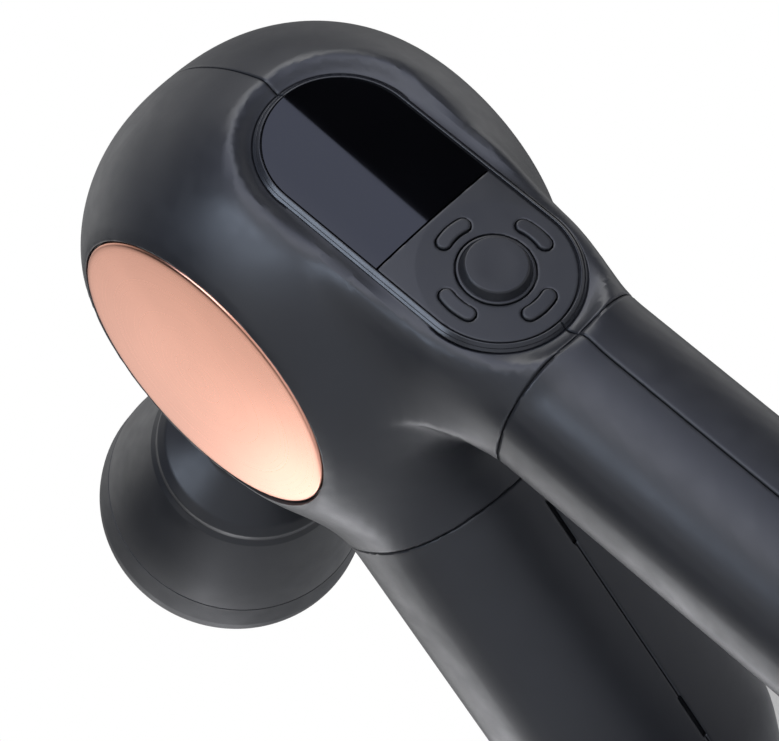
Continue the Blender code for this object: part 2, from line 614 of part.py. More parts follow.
def make_hammer(materials, head, hammer, rod_frame):
    """Hammer frame: local X along the stroke from the wrist pin. Rod frame: the same, on the rod."""
    wrist = ROD_LENGTH - CRANK_THROW  # ahead of the motor's axis
    along_x = Matrix.Rotation(math.radians(90), 4, "Y")
    body = [(0, 0.0070), (SHAFT_RADIUS, 0.0070), (SHAFT_RADIUS, SHAFT_TIP - 0.0080 - wrist),
            (0.0050, SHAFT_TIP - 0.0078 - wrist), (0.0050, SHAFT_TIP - 0.0056 - wrist),
            (SHAFT_RADIUS, SHAFT_TIP - 0.0054 - wrist), (SHAFT_RADIUS, SHAFT_TIP - 0.0012 - wrist),
            (SHAFT_RADIUS - 0.0012, SHAFT_TIP - wrist), (0, SHAFT_TIP - wrist)]
    shaft = finish_object("percussion_shaft", lathe(body, 24), materials["steel"], hammer, along_x)
    clevis = stadium(-0.0052, 0.0090, 0.0052, 6, square_end=True)
    clevis = finish_object("clevis_form", prism(clevis, -0.0064, 0.0064), parent=hammer,
                           matrix=Matrix.Rotation(math.radians(90), 4, "X"))
    slot = finish_object("clevis_slot_cutter", box((-0.010, -0.0038, -0.010), (0.0058, 0.0038, 0.010)),
                         parent=hammer)
    bore = finish_object("clevis_bore_cutter", rod(0.0023, -0.010, 0.010, 16), parent=hammer,
                         matrix=ALONG_Y)
    combine(shaft, "UNION", clevis)
    combine(shaft, "DIFFERENCE", slot)
    combine(shaft, "DIFFERENCE", bore)
    finish_object("wrist_pin", rod(0.0020, -0.0062, 0.0062, 16), materials["steel"], hammer, ALONG_Y)
    seat = SHAFT_TIP - 0.0067 - wrist
    finish_object("retaining_ring", lathe([(0.0053, seat - 0.0007), (0.0060, seat - 0.0007),
                                           (0.0062, seat), (0.0060, seat + 0.0007),
                                           (0.0053, seat + 0.0007)], 24),
                  materials["rubber"], hammer, along_x)

    big_end = Matrix.Translation((-ROD_LENGTH, 0, 0)) @ Matrix.Rotation(math.radians(90), 4, "X")
    beam = [(-ROD_LENGTH, -0.0052), (0, -0.0034), (0, 0.0034), (-ROD_LENGTH, 0.0052)]
    link = finish_object("connecting_rod", prism(beam, -0.0030, 0.0030), materials["alloy"], rod_frame,
                         Matrix.Rotation(math.radians(90), 4, "X"))
    eyes = (("big_eye", rod(0.0105, -0.0033, 0.0033, 24), rod(0.0083, -0.01, 0.01, 20), big_end),
            ("small_eye", rod(0.0044, -0.0033, 0.0033, 16), rod(0.0023, -0.01, 0.01, 12), ALONG_Y))
    for name, solid, hole, place in eyes:
        combine(link, "UNION", finish_object(name + "_form", solid, parent=rod_frame, matrix=place))
    for name, solid, hole, place in eyes:
        combine(link, "DIFFERENCE", finish_object(name + "_cutter", hole, parent=rod_frame, matrix=place))
    finish_object("big_end_bearing", ring(0.0033, 0.0080, -0.0030, 0.0030, 20), materials["steel"],
                  rod_frame, big_end)
    finish_object("crank_pin", lathe([(0, -0.0036), (0.0030, -0.0036), (0.0030, 0.0034), (0.0046, 0.0034),
                                      (0.0046, 0.0046), (0, 0.0046)], 20),
                  materials["steel"], rod_frame, big_end)

    finish_object("guide_bush", ring(SHAFT_RADIUS + GAP, 0.0090, 0.0480, 0.0620, 20), materials["winding"],
                  head, ALONG_STROKE)
    wiper = [(0.0063, 0.0640), (0.0097, 0.0640), (0.0097, 0.0663), (0.0114, 0.0663), (0.0104, 0.0678),
             (0.0063, 0.0672)]
    finish_object("shaft_wiper", lathe(wiper, 28), materials["rubber"], head, ALONG_STROKE)


def make_attachment(materials, attachment):
    """A round massage head: local Z along the stroke from the motor's axis."""
    bore = SHAFT_RADIUS + GAP
    depth = SHAFT_TIP + 0.0005
    hub = [(bore, ATTACHMENT_START), (0.0100, ATTACHMENT_START), (0.0112, ATTACHMENT_START + 0.0010),
           (0.0120, 0.0850), (0.0160, 0.0885), (0.0195, 0.0905), (0.0212, 0.0922), (0.0212, 0.0940),
           (0.0222, 0.0955), (0.0268, 0.1085), (0.0292, PAD_BACK - GAP), (0, PAD_BACK - GAP), (0, depth),
           (bore, depth)]
    finish_object("attachment_hub", lathe(hub, 28), materials["frame_plastic"], attachment, ALONG_STROKE)
    edge = 0.0055
    pad = [(0, PAD_BACK), (0.0292, PAD_BACK), (0.0302, PAD_BACK + 0.0050)]
    pad += arc((PAD_RADIUS - edge, PAD_FRONT - edge), edge, 0, 90, 5)
    pad += [(0, PAD_FRONT)]
    finish_object("attachment_pad", lathe(pad, 28), materials["foam"], attachment, ALONG_STROKE)


# --- Battery, boards and charging ---------------------------------------------------------------
def make_power(materials, battery, head, port):
    """Battery frame: local Z down the front arm from the motor's axis."""
    half = CELL_PITCH / 2
    places = [Matrix.Translation((x, y, 0)) for x in (-half, half) for y in (-half, half)]
    end = CELL_START + CELL_LENGTH
    cell = lathe([(0, CELL_START), (CELL_RADIUS, CELL_START), (CELL_RADIUS, end - 0.0004),
                  (0.0030, end - 0.0004), (0.0030, end + 0.0010), (0, end + 0.0010)], 18)
    place_copies("battery_cell", cell, materials["cell"], places, battery)
    outline = superellipse(0.0188, 0.0184, 3.6, 28)
    for name, low, high in (("battery_holder_upper", CELL_START - 0.0024, CELL_START - GAP),
                            ("battery_holder_lower", end + 0.0013, end + 0.0030)):
        finish_object(name, prism(outline, low, high), materials["frame_plastic"], battery)
    low = end + 0.0040
    finish_object("battery_board", prism([(-0.015, -0.014), (0.015, -0.014), (0.015, 0.014),
                                          (-0.015, 0.014)], low, low + 0.0012), materials["board"], battery)
    finish_object("drive_board", prism(superellipse(0.0240, 0.0240, 3.0, 24), 0.0150, 0.0164),
                  materials["board"], head, ALONG_Y)
    finish_object("charge_port", prism(stadium(-0.0044, 0.0044, 0.0015, 5), -0.0105, -0.0030),
                  materials["steel"], port)
    finish_object("charge_board", box((-0.0080, -0.0034, -0.0200), (0.0080, -0.0021, -0.0040)),
                  materials["board"], port)


def main():
    clear_scene()
    materials = make_materials()
    panel_dir = Vector((math.cos(PANEL_ANGLE), 0, math.sin(PANEL_ANGLE)))
    panel_out = Vector((-panel_dir.z, 0, panel_dir.x))
    stroke = Vector((-1, 0, 0))
    wrist = MOTOR_AXIS + stroke * (ROD_LENGTH - CRANK_THROW)
    rear_start = MOTOR_AXIS + REAR_OUT * REAR_ARM_OFFSET
    head = make_frame("head_frame", MOTOR_AXIS)
    crank = make_frame("crank_frame", MOTOR_AXIS)
    panel = make_frame("panel_frame", MOTOR_AXIS, panel_dir, panel_out)
    hammer = make_frame("hammer_frame", wrist, stroke, Vector((0, 0, 1)))
    rod_frame = make_frame("rod_frame", wrist, stroke, Vector((0, 0, 1)))
    attachment = make_frame("attachment_frame", MOTOR_AXIS)
    battery = make_frame("battery_frame", MOTOR_AXIS + FRONT_IN * FRONT_ARM_OFFSET, Vector((0, 1, 0)),
                         FRONT_DIR)
    port_place = rear_start + REAR_DIR * 0.121 + REAR_OUT * REAR_ARM[1]
    port = make_frame("port_frame", port_place, Vector((0, 1, 0)), REAR_OUT)
    make_shells(materials, head, panel, port)
    make_screws(materials)
    make_caps(materials, head)
    make_panel(materials, panel)
    make_motor(materials, head, crank)
    make_hammer(materials, head, hammer, rod_frame)
    make_attachment(materials, attachment)
    make_power(materials, battery, head, port)


main()
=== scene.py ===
"""Looks of the percussive massager: fine housing surfaces, control panel, caps, attachment, materials, studio."""

import json
import math

import bmesh
import bpy
import numpy as np
from mathutils import Matrix, Vector


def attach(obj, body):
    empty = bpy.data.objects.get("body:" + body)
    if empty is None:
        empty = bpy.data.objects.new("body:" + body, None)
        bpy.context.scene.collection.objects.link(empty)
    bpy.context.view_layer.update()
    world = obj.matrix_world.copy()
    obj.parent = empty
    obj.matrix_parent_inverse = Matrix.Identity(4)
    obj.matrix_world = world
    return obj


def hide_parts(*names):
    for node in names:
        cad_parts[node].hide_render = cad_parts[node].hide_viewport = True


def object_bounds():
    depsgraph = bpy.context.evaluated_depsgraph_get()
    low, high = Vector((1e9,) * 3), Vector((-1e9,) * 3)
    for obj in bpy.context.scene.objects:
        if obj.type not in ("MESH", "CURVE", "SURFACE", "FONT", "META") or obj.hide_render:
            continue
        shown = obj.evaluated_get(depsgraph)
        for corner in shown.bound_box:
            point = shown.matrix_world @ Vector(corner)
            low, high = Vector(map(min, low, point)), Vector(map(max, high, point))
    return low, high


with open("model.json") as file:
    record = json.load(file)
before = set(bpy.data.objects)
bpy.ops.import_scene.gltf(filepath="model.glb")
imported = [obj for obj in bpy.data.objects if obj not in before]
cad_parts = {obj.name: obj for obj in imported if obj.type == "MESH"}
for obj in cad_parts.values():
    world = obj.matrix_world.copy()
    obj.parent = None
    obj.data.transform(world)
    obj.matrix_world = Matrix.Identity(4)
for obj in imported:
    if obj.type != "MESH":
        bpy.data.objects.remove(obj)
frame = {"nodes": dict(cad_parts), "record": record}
CAD_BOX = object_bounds()
NODES = frame["nodes"]
JOINTS = {j["name"]: j for j in frame["record"]["behaviour"]["joints"]}

# --- Places and sizes, in metres ---------------------------------------------------------------
AXIS = np.array(JOINTS["motor_spin"]["pos_m"])  # centre of the head
HALF_WIDTH, RADIUS, RIM = 0.032, 0.045, 0.0305
CAP_RADIUS, CAP_SINK = 0.0297, 0.0011
GAP = 0.0003  # round the window, plate, keys, button and caps
SEAM = 0.0002  # width of the seams between the shells
SLOTS_ALONG = ((0.0545, 0.0650), (0.1030, 0.1130))  # pry slots in the front arm's inner seam
SLOT_HALF = 0.00045
REAR_ANGLE, FRONT_ANGLE = math.radians(-80.9), math.radians(-118.7)
REAR_OFFSET, FRONT_OFFSET = 0.0282, 0.0006
REAR_ARM, FRONT_ARM, BASE_ARM = (0.0172, 0.0161), (0.0250, 0.0230), (0.0190, 0.0180)
ARM_POWER = 2.5
BASE_HEIGHT = 0.0155  # of the base arm's middle line
REAR_CORNER, FRONT_CORNER = 0.026, 0.024
REAR_RING, FRONT_RING = 0.0549, 0.0475  # stations of the seams between head and grip
TAPER = (0.118, 0.143)  # stations between which the front arm grows to the base arm's size
PANEL_ANGLE = math.radians(-80.3)
PANEL_FACE, PANEL_TOP, PANEL_END, PANEL_HALF = 0.04245, -0.0121, 0.0516, 0.0143
CROWN = 0.0006  # rise of the window and plate along their middle
PANEL_SPLIT = 0.0230  # where the window ends and the plate begins
BUTTON_AT = PANEL_END - PANEL_HALF
BUTTON_RADIUS = 0.0068
KEY_ORBIT, KEY_HALF_WIDTH, KEY_HALF_ANGLE = 0.0100, 0.0013, math.radians(14)
RIM_WIDTH = 0.0013
LAND = 0.00070  # depth of the land round the panel's rim
BOSS_WIDTH, BOSS_ROUND, BOSS_FOOT = 0.0022, 0.0070, 0.024  # boss that carries the land
SUNK = 0.0009  # how far the head is eased in round the rim
GRID = 0.00125  # pitch of the housing's surface grid
WALL = 0.0009  # thickness of the housing's skins
NOSE_FRONT = 0.0655  # from the head's centre
NOSE_BORE = 0.0104
CAP_SEAT = 0.0302
HEAD_SEAT, SCREW_BORE = 0.0075, 0.0024  # along Y, where the housing screws' heads bear; radius of their bores
SCREWS_REAR, SCREW_FRONT = (0.078, 0.138), 0.137  # stations of the arms' screws
PORT_STATION, PORT_HALF, PORT_REACH = 0.121, 0.0018, 0.0029
BUTTON_WELL = 0.0077
ATTACHMENT_BORE, PAD_BACK, PAD_FRONT, PAD_RADIUS = 0.0063, 0.1190, 0.1340, 0.0304


def direction(angle):
    return np.array([math.cos(angle), math.sin(angle)])


REAR, FRONT, DOWN = direction(REAR_ANGLE), direction(FRONT_ANGLE), direction(PANEL_ANGLE)
REAR_OUT = np.array([-REAR[1], REAR[0]])
HEAD_AT = AXIS[[0, 2]]
PORT_AT = HEAD_AT + REAR_OUT * REAR_OFFSET + REAR * PORT_STATION
FRONT_IN = np.array([-FRONT[1], FRONT[0]])
OUT = np.array([-DOWN[1], DOWN[0]])  # outward normal of the panel, in XZ
PANEL = Matrix(((DOWN[0], 0, OUT[0], AXIS[0]), (0, -1, 0, 0), (DOWN[1], 0, OUT[1], AXIS[2]), (0, 0, 0, 1)))
STROKE = Matrix(((0, 0, -1, AXIS[0]), (0, -1, 0, 0), (-1, 0, 0, AXIS[2]), (0, 0, 0, 1)))


# --- Distance fields ---------------------------------------------------------------------------
def smooth_min(a, b, k):
    h = np.maximum(k - np.abs(a - b), 0.0)
    return np.minimum(a, b) - h * h / (4 * np.maximum(k, 1e-9))


def smooth_max(a, b, k):
    return -smooth_min(-a, -b, k)


def smooth_step(value, low, high):
    t = np.clip((value - low) / (high - low), 0, 1)
    return t * t * (3 - 2 * t)


def stadium_distance(x, y, start, end, half):
    """Distance in the plane to a round-ended strip along X."""
    middle = np.clip(x, start + half, end - half)
    return np.hypot(x - middle, y) - half


class Turned:
    """Distance to a turned solid: a table over radius and height, made from its outline."""

    def __init__(self, outline, radius, height, step=0.0004):
        self.step = step
        self.shape = (int(radius / step) + 1, int(height / step) + 1)
        r, h = np.meshgrid(*(np.arange(n) * step for n in self.shape), indexing="ij")
        points = np.stack([r.ravel(), h.ravel()], 1)
        best = np.full(len(points), 1e9)
        inside = np.zeros(len(points), bool)
        for a, b in zip(outline, np.roll(outline, -1, axis=0)):
            edge = b - a
            along = np.clip((points - a) @ edge / max(edge @ edge, 1e-18), 0, 1)
            near = a + along[:, None] * edge
            if not (a[1] < -0.009 and b[1] < -0.009) and not (a[0] == b[0] == 0):
                best = np.minimum(best, np.hypot(*(points - near).T))
            crosses = (a[1] > points[:, 1]) != (b[1] > points[:, 1])
            with np.errstate(divide="ignore", invalid="ignore"):
                at = a[0] + (points[:, 1] - a[1]) / (b[1] - a[1]) * edge[0]
            inside ^= crosses & (points[:, 0] < at)
        self.table = np.where(inside, -best, best).reshape(self.shape)

    def __call__(self, r, h):
        r, h = np.broadcast_arrays(r / self.step, np.abs(h) / self.step)
        i = np.clip(r.astype(int), 0, self.shape[0] - 2)
        j = np.clip(h.astype(int), 0, self.shape[1] - 2)
        u, v = np.clip(r - i, 0, 1), np.clip(h - j, 0, 1)
        t = self.table
        low = t[i, j] * (1 - u) + t[i + 1, j] * u
        return low * (1 - v) + (t[i, j + 1] * (1 - u) + t[i + 1, j + 1] * u) * v


def barrel_outline(steps=60):
    crown = RADIUS - RIM
    side = []
    for angle in np.linspace(0, math.pi / 2, steps):
        height = HALF_WIDTH * math.cos(angle) ** (2 / 2.35) if angle < 1.5707 else 0.0
        side.append((RIM + crown * math.sin(angle) ** (2 / 1.23), height))
    side[0] = (RIM - 0.0002, HALF_WIDTH)
    return np.array([(0, HALF_WIDTH)] + side + [(RADIUS, -0.01), (0, -0.01)])


BARREL = Turned(barrel_outline(), 0.075, 0.050)
NOSE = Turned(np.array([(0, NOSE_FRONT), (0.0164, NOSE_FRONT), (0.0171, NOSE_FRONT - 0.0003),
                        (0.0175, NOSE_FRONT - 0.0010), (0.0210, 0.040), (0.0210, 0.010), (0, 0.010)]), 0.075, 0.100)


def handle_path():
    """Points, half widths and half depths along the handle's axis line, rear arm first."""
    rear_start, front_start = HEAD_AT + REAR_OUT * REAR_OFFSET, HEAD_AT + FRONT_IN * FRONT_OFFSET
    rear_corner = rear_start + REAR * ((rear_start[1] - BASE_HEIGHT) / -REAR[1])
    front_corner = front_start + FRONT * ((front_start[1] - BASE_HEIGHT) / -FRONT[1])
    base = np.array([-1.0, 0.0])

    def corner(at, before, after, radius, count=14):
        turn = math.acos(float(before @ after))
        start = at - before * radius * math.tan(turn / 2)
        side = np.array([before[1], -before[0]])
        centre = start + side * radius
        arm = start - centre
        found = []
        for angle in np.linspace(0, turn, count):
            c, s = math.cos(angle), math.sin(angle)
            found.append(centre + np.array([c * arm[0] + s * arm[1], -s * arm[0] + c * arm[1]]))
        return found

    rear = [rear_start] + corner(rear_corner, REAR, base, REAR_CORNER)
    front = corner(front_corner, base, -FRONT, FRONT_CORNER)
    rear_sizes = [REAR_ARM] + [tuple(np.array(REAR_ARM) + (np.array(BASE_ARM) - REAR_ARM) * t)
                               for t in np.linspace(0, 1, len(rear) - 1)]
    front_sizes = [BASE_ARM] * len(front)
    for reach in np.linspace(TAPER[1], TAPER[0], 12):
        share = smooth_step(TAPER[1] - reach, 0, TAPER[1] - TAPER[0])
        front.append(front_start + FRONT * reach)
        front_sizes.append(tuple(np.array(BASE_ARM) + (np.array(FRONT_ARM) - BASE_ARM) * share))
    front.append(front_start + FRONT * 0.004)
    front_sizes.append(FRONT_ARM)
    middle = (rear[-1] + front[0]) / 2
    return (np.array(rear + [middle]), np.array(rear_sizes + [BASE_ARM])), \
        (np.array([middle] + front), np.array([BASE_ARM] + front_sizes))


REAR_PATH, FRONT_PATH = handle_path()


def tube(path, x, y, z):
    """Distance to a superellipse tube along a path in the XZ plane."""
    points, sizes = path
    x, z = np.broadcast_arrays(x, z)
    best = np.full(x.shape, 1e9)
    half_width, half_depth = np.zeros(x.shape), np.zeros(x.shape)
    for i in range(len(points) - 1):
        edge = points[i + 1] - points[i]
        t = np.clip(((x - points[i][0]) * edge[0] + (z - points[i][1]) * edge[1]) / (edge @ edge), 0, 1)
        off = np.hypot(x - points[i][0] - t * edge[0], z - points[i][1] - t * edge[1])
        near = off < best
        best = np.where(near, off, best)
        size = sizes[i][:, None] + (sizes[i + 1] - sizes[i])[:, None] * t.ravel()
        half_width = np.where(near, size[0].reshape(x.shape), half_width)
        half_depth = np.where(near, size[1].reshape(x.shape), half_depth)
    across = np.abs(y)
    shape = ((across / half_width) ** ARM_POWER + (best / half_depth) ** ARM_POWER) ** (1 / ARM_POWER)
    return np.hypot(across, best) * (1 - 1 / np.maximum(shape, 1e-4))


def panel_coordinates(x, z):
    u, v = x - AXIS[0], z - AXIS[2]
    return u * DOWN[0] + v * DOWN[1], u * OUT[0] + v * OUT[1]


def housing(x, y, z):
    """Distance to the whole housing's outer surface, blended where its parts meet."""
    u, v = x - AXIS[0], z - AXIS[2]
    along, rise = panel_coordinates(x, z)
    away = stadium_distance(along, y, PANEL_TOP, PANEL_END, PANEL_HALF) - RIM_WIDTH  # from the rim's outside
    high = smooth_step(rise, 0.030, 0.036)
    top = PANEL_FACE - LAND

    head = BARREL(np.hypot(u, v), y)
    nose = np.where(u < 0, NOSE(np.hypot(y, v), np.minimum(u, 0)), 0.05)
    blend = smooth_step(z, 0.070, 0.110)
    body = smooth_min(head, tube(REAR_PATH, x, y, z), 0.001 + 0.015 * blend)
    body = smooth_min(body, tube(FRONT_PATH, x, y, z), 1e-6 + 0.012 * blend)
    body = smooth_min(body, nose, 0.008)

    boss = np.maximum(smooth_max(away - BOSS_WIDTH, rise - top, BOSS_ROUND), BOSS_FOOT - rise)
    body = smooth_min(body, boss, 0.0008 + 0.0070 * smooth_step(along, 0.004, 0.024))
    reach = 0.0075 + 0.0075 * smooth_step(-along, 0.002, 0.018)
    body = body + SUNK * (1 - smooth_step(away, 0, reach)) * smooth_step(-along, -0.022, -0.004) * high
    land = (1 - smooth_step(away - 0.0003, 0, 0.0042)) * high
    body = body + land * smooth_max(rise - top - body, 0, 0.0018)
    return smooth_max(body, -z, 0.0020)  # flat underside on the floor


# --- Surfaces from fields ----------------------------------------------------------------------
def gradient(field, points, reach):
    found = []
    for axis in range(3):
        shift = np.zeros(3)
        shift[axis] = reach
        found.append(field(*(points + shift).T) - field(*(points - shift).T))
    return np.stack(found, 1) / (2 * reach)


def settle(field, points, reach, rounds=4):
    """Moves points onto the field's zero surface."""
    for _ in range(rounds):
        value = field(*points.T)
        slope = gradient(field, points, reach)
        points = points - (value / np.maximum((slope ** 2).sum(1), 0.05))[:, None] * slope
    return points


def isosurface(field, low, high, step):
    """Closed quad surface where the field is zero, one vertex for each cell it crosses."""
    counts = [int(math.ceil((b - a) / step)) + 1 for a, b in zip(low, high)]
    axes = [low[i] + step * np.arange(counts[i]) for i in range(3)]
    values = field(axes[0][:, None, None], axes[1][None, :, None], axes[2][None, None, :])
    values = np.broadcast_to(values, counts)
    inside = values < 0
    cells = [n - 1 for n in counts]
    total, hits = np.zeros(cells + [3]), np.zeros(cells, int)
    crossings = []
    for axis in range(3):
        first, second = [slice(None)] * 3, [slice(None)] * 3
        first[axis], second[axis] = slice(0, -1), slice(1, None)
        at = np.argwhere(inside[tuple(first)] != inside[tuple(second)])
        a, b = values[tuple(first)][tuple(at.T)], values[tuple(second)][tuple(at.T)]
        place = at * step + np.array(low)
        place[:, axis] += step * a / (a - b)
        crossings.append((axis, at, a < 0))
        others = [i for i in range(3) if i != axis]
        for s in (0, 1):
            for t in (0, 1):
                cell = at.copy()
                cell[:, others[0]] -= s
                cell[:, others[1]] -= t
                good = ((cell >= 0) & (cell < cells)).all(1)
                np.add.at(total, tuple(cell[good].T), place[good])
                np.add.at(hits, tuple(cell[good].T), 1)
    used = hits > 0
    number = np.full(cells, -1)
    number[used] = np.arange(used.sum())
    points = total[used] / hits[used][:, None]
    faces = []
    for axis, at, outward in crossings:
        b, c = (axis + 1) % 3, (axis + 2) % 3
        at = at[(at[:, b] > 0) & (at[:, c] > 0) & (at[:, b] < cells[b]) & (at[:, c] < cells[c])]
        keep = inside[tuple(at.T)]
        corners = []
        for s, t in ((1, 1), (0, 1), (0, 0), (1, 0)):
            cell = at.copy()
            cell[:, b] -= s
            cell[:, c] -= t
            corners.append(number[tuple(cell.T)])
        quad = np.stack(corners, 1)
        quad[~keep] = quad[~keep][:, ::-1]
        faces.append(quad)
    return settle(field, points, step * 0.25), np.concatenate(faces)


# --- Mesh helpers ------------------------------------------------------------------------------
def link(obj):
    bpy.context.scene.collection.objects.link(obj)
    return obj


def piece(name, points, faces, material, body, nodes=(), matrix=None, sharp=40):
    """A finished piece from points and faces: shaded, placed, coloured and riding its body."""
    mesh = bpy.data.meshes.new(name)
    points = np.asarray(points, float)
    if matrix is not None:
        at = np.array(matrix)
        points = points @ at[:3, :3].T + at[:3, 3]
    mesh.from_pydata(points.tolist(), [], [list(map(int, f)) for f in faces])
    mesh.validate()
    clean = bmesh.new()
    clean.from_mesh(mesh)
    bmesh.ops.remove_doubles(clean, verts=clean.verts, dist=1e-6)
    bmesh.ops.recalc_face_normals(clean, faces=clean.faces)
    clean.to_mesh(mesh)
    clean.free()
    return finish_piece(name, mesh, material, body, nodes, sharp)


def finish_piece(name, mesh, material, body, nodes, sharp=40):
    mesh.shade_smooth()
    mesh.set_sharp_from_angle(angle=math.radians(sharp))
    mesh.materials.append(material)
    obj = link(bpy.data.objects.new(name, mesh))
    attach(obj, body)
    if nodes:
        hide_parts(*nodes)
    return obj


def lathe(outline, segments=96):
    """Points and faces of an outline of (radius, height) turned about Z; closed where it touches the axis."""
    outline = [tuple(p) for p in outline]
    points, rows = [], []
    for radius, height in outline:
        if radius < 1e-9:
            rows.append([len(points)])
            points.append((0, 0, height))
        else:
            rows.append(list(range(len(points), len(points) + segments)))
            points += [(radius * math.cos(a), radius * math.sin(a), height)
                       for a in np.arange(segments) * math.tau / segments]
    faces = []
    closed = outline[0][0] > 1e-9 or outline[-1][0] > 1e-9
    pairs = list(zip(rows, rows[1:])) + ([(rows[-1], rows[0])] if closed else [])
    for low, high in pairs:
        for i in range(segments):
            j = (i + 1) % segments
            if len(low) == 1 and len(high) > 1:
                faces.append((low[0], high[j], high[i]))
            elif len(high) == 1 and len(low) > 1:
                faces.append((low[i], low[j], high[0]))
            elif len(low) > 1:
                faces.append((low[i], low[j], high[j], high[i]))
    return points, faces


def rounded(outline, radii, steps=4):
    """The outline with its corners turned into arcs; radii by index."""
    found = []
    for i, point in enumerate(outline):
        radius = radii.get(i, 0) if isinstance(radii, dict) else radii
        if not radius or point[0] < 1e-9:
            found.append(tuple(point))
            continue
        here = np.array(point, float)
        before, after = (np.array(outline[i - 1], float) - here), (np.array(outline[(i + 1) % len(outline)]) - here)
        before, after = before / np.linalg.norm(before), after / np.linalg.norm(after)
        half = math.acos(max(-1, min(1, before @ after))) / 2
        if half > 1.5:
            found.append(tuple(point))
            continue
        reach = radius / math.tan(half)
        a, b = here + before * reach, here + after * reach
        for t in np.linspace(0, 1, steps + 1):
            found.append(tuple((1 - t) ** 2 * a + 2 * t * (1 - t) * here + t * t * b))
    return found


ALONG_Y = Matrix.Translation(Vector(AXIS)) @ Matrix.Rotation(math.radians(-90), 4, "X")
AGAINST_Y = Matrix.Translation(Vector(AXIS)) @ Matrix.Rotation(math.radians(90), 4, "X")


# --- Materials ---------------------------------------------------------------------------------
def new_material(name, colour, roughness, metallic=0.0):
    material = bpy.data.materials.new(name)
    material.use_nodes = True
    tree = material.node_tree
    shader = tree.nodes["Principled BSDF"]
    shader.inputs["Base Color"].default_value = (*colour, 1)
    shader.inputs["Roughness"].default_value = roughness
    shader.inputs["Metallic"].default_value = metallic
    place = tree.nodes.new("ShaderNodeTexCoord")
    return material, tree, shader, place.outputs["Object"]


def noise(tree, vector, scale, detail=4.0, stretch=None):
    if stretch:
        mapping = tree.nodes.new("ShaderNodeMapping")
        mapping.inputs["Scale"].default_value = stretch
        tree.links.new(vector, mapping.inputs["Vector"])
        vector = mapping.outputs["Vector"]
    texture = tree.nodes.new("ShaderNodeTexNoise")
    texture.inputs["Scale"].default_value = scale
    texture.inputs["Detail"].default_value = detail
    tree.links.new(vector, texture.inputs["Vector"])
    return texture.outputs["Fac"]


def ramp(tree, value, stops):
    """Colour ramp with (position, colour) stops; grey stops may be single numbers."""
    node = tree.nodes.new("ShaderNodeValToRGB")
    elements = node.color_ramp.elements
    while len(elements) < len(stops):
        elements.new(0.5)
    for element, (position, colour) in zip(elements, stops):
        element.position = position
        element.color = (*colour, 1) if isinstance(colour, tuple) else (colour,) * 3 + (1,)
    tree.links.new(value, node.inputs["Fac"])
    return node.outputs["Color"]


def bump(tree, shader, height, distance, strength):
    node = tree.nodes.new("ShaderNodeBump")
    node.inputs["Distance"].default_value = distance
    node.inputs["Strength"].default_value = strength
    tree.links.new(height, node.inputs["Height"])
    tree.links.new(node.outputs["Normal"], shader.inputs["Normal"])


def shade(colour, factor):
    return tuple(min(1.0, c * factor) for c in colour)


def moulded(name, colour, roughness, grain=9000.0, depth=0.000012, coat=0.0):
    """Moulded or soft-touch plastic: fine sparkle grain, slow mottling, uneven gloss."""
    material, tree, shader, place = new_material(name, colour, roughness)
    slow = noise(tree, place, 38, 3)
    tree.links.new(ramp(tree, slow, [(0.3, shade(colour, 0.88)), (0.7, shade(colour, 1.12))]),
                   shader.inputs["Base Color"])
    fine = noise(tree, place, grain, 2)
    rough = noise(tree, place, 260, 4)
    tree.links.new(ramp(tree, rough, [(0.3, roughness - 0.035), (0.7, roughness + 0.035)]),
                   shader.inputs["Roughness"])
    bump(tree, shader, fine, depth, 0.5)
    shader.inputs["Coat Weight"].default_value = coat
    return material


def spun(name, colour, roughness):
    """Satin metal disc turned about Y, with very fine concentric marks."""
    material, tree, shader, place = new_material(name, colour, roughness, 1.0)
    mapping = tree.nodes.new("ShaderNodeMapping")
    mapping.inputs["Location"].default_value = (-AXIS[0], 0, -AXIS[2])
    tree.links.new(place, mapping.inputs["Vector"])
    split = tree.nodes.new("ShaderNodeSeparateXYZ")
    tree.links.new(mapping.outputs["Vector"], split.inputs["Vector"])
    flat = tree.nodes.new("ShaderNodeCombineXYZ")
    tree.links.new(split.outputs["X"], flat.inputs["X"])
    tree.links.new(split.outputs["Z"], flat.inputs["Y"])
    length = tree.nodes.new("ShaderNodeVectorMath")
    length.operation = "LENGTH"
    tree.links.new(flat.outputs["Vector"], length.inputs[0])
    rings = tree.nodes.new("ShaderNodeTexNoise")
    rings.noise_dimensions = "1D"
    rings.inputs["Scale"].default_value = 6000
    rings.inputs["Detail"].default_value = 3
    tree.links.new(length.outputs["Value"], rings.inputs["W"])
    slow = noise(tree, place, 60, 4)
    tree.links.new(ramp(tree, slow, [(0.3, shade(colour, 0.96)), (0.7, shade(colour, 1.03))]),
                   shader.inputs["Base Color"])
    tree.links.new(ramp(tree, rings.outputs["Fac"], [(0.2, roughness - 0.01), (0.8, roughness + 0.01)]),
                   shader.inputs["Roughness"])
    bump(tree, shader, rings.outputs["Fac"], 0.000001, 0.08)
    return material


def metal(name, colour, roughness, stretch, depth=0.000004):
    """Machined or brushed metal with marks along one direction."""
    material, tree, shader, place = new_material(name, colour, roughness, 1.0)
    marks = noise(tree, place, 900, 3, stretch)
    slow = noise(tree, place, 90, 4)
    tree.links.new(ramp(tree, slow, [(0.3, shade(colour, 0.88)), (0.7, shade(colour, 1.05))]),
                   shader.inputs["Base Color"])
    tree.links.new(ramp(tree, marks, [(0.3, roughness - 0.06), (0.7, roughness + 0.08)]),
                   shader.inputs["Roughness"])
    bump(tree, shader, marks, depth, 0.4)
    return material


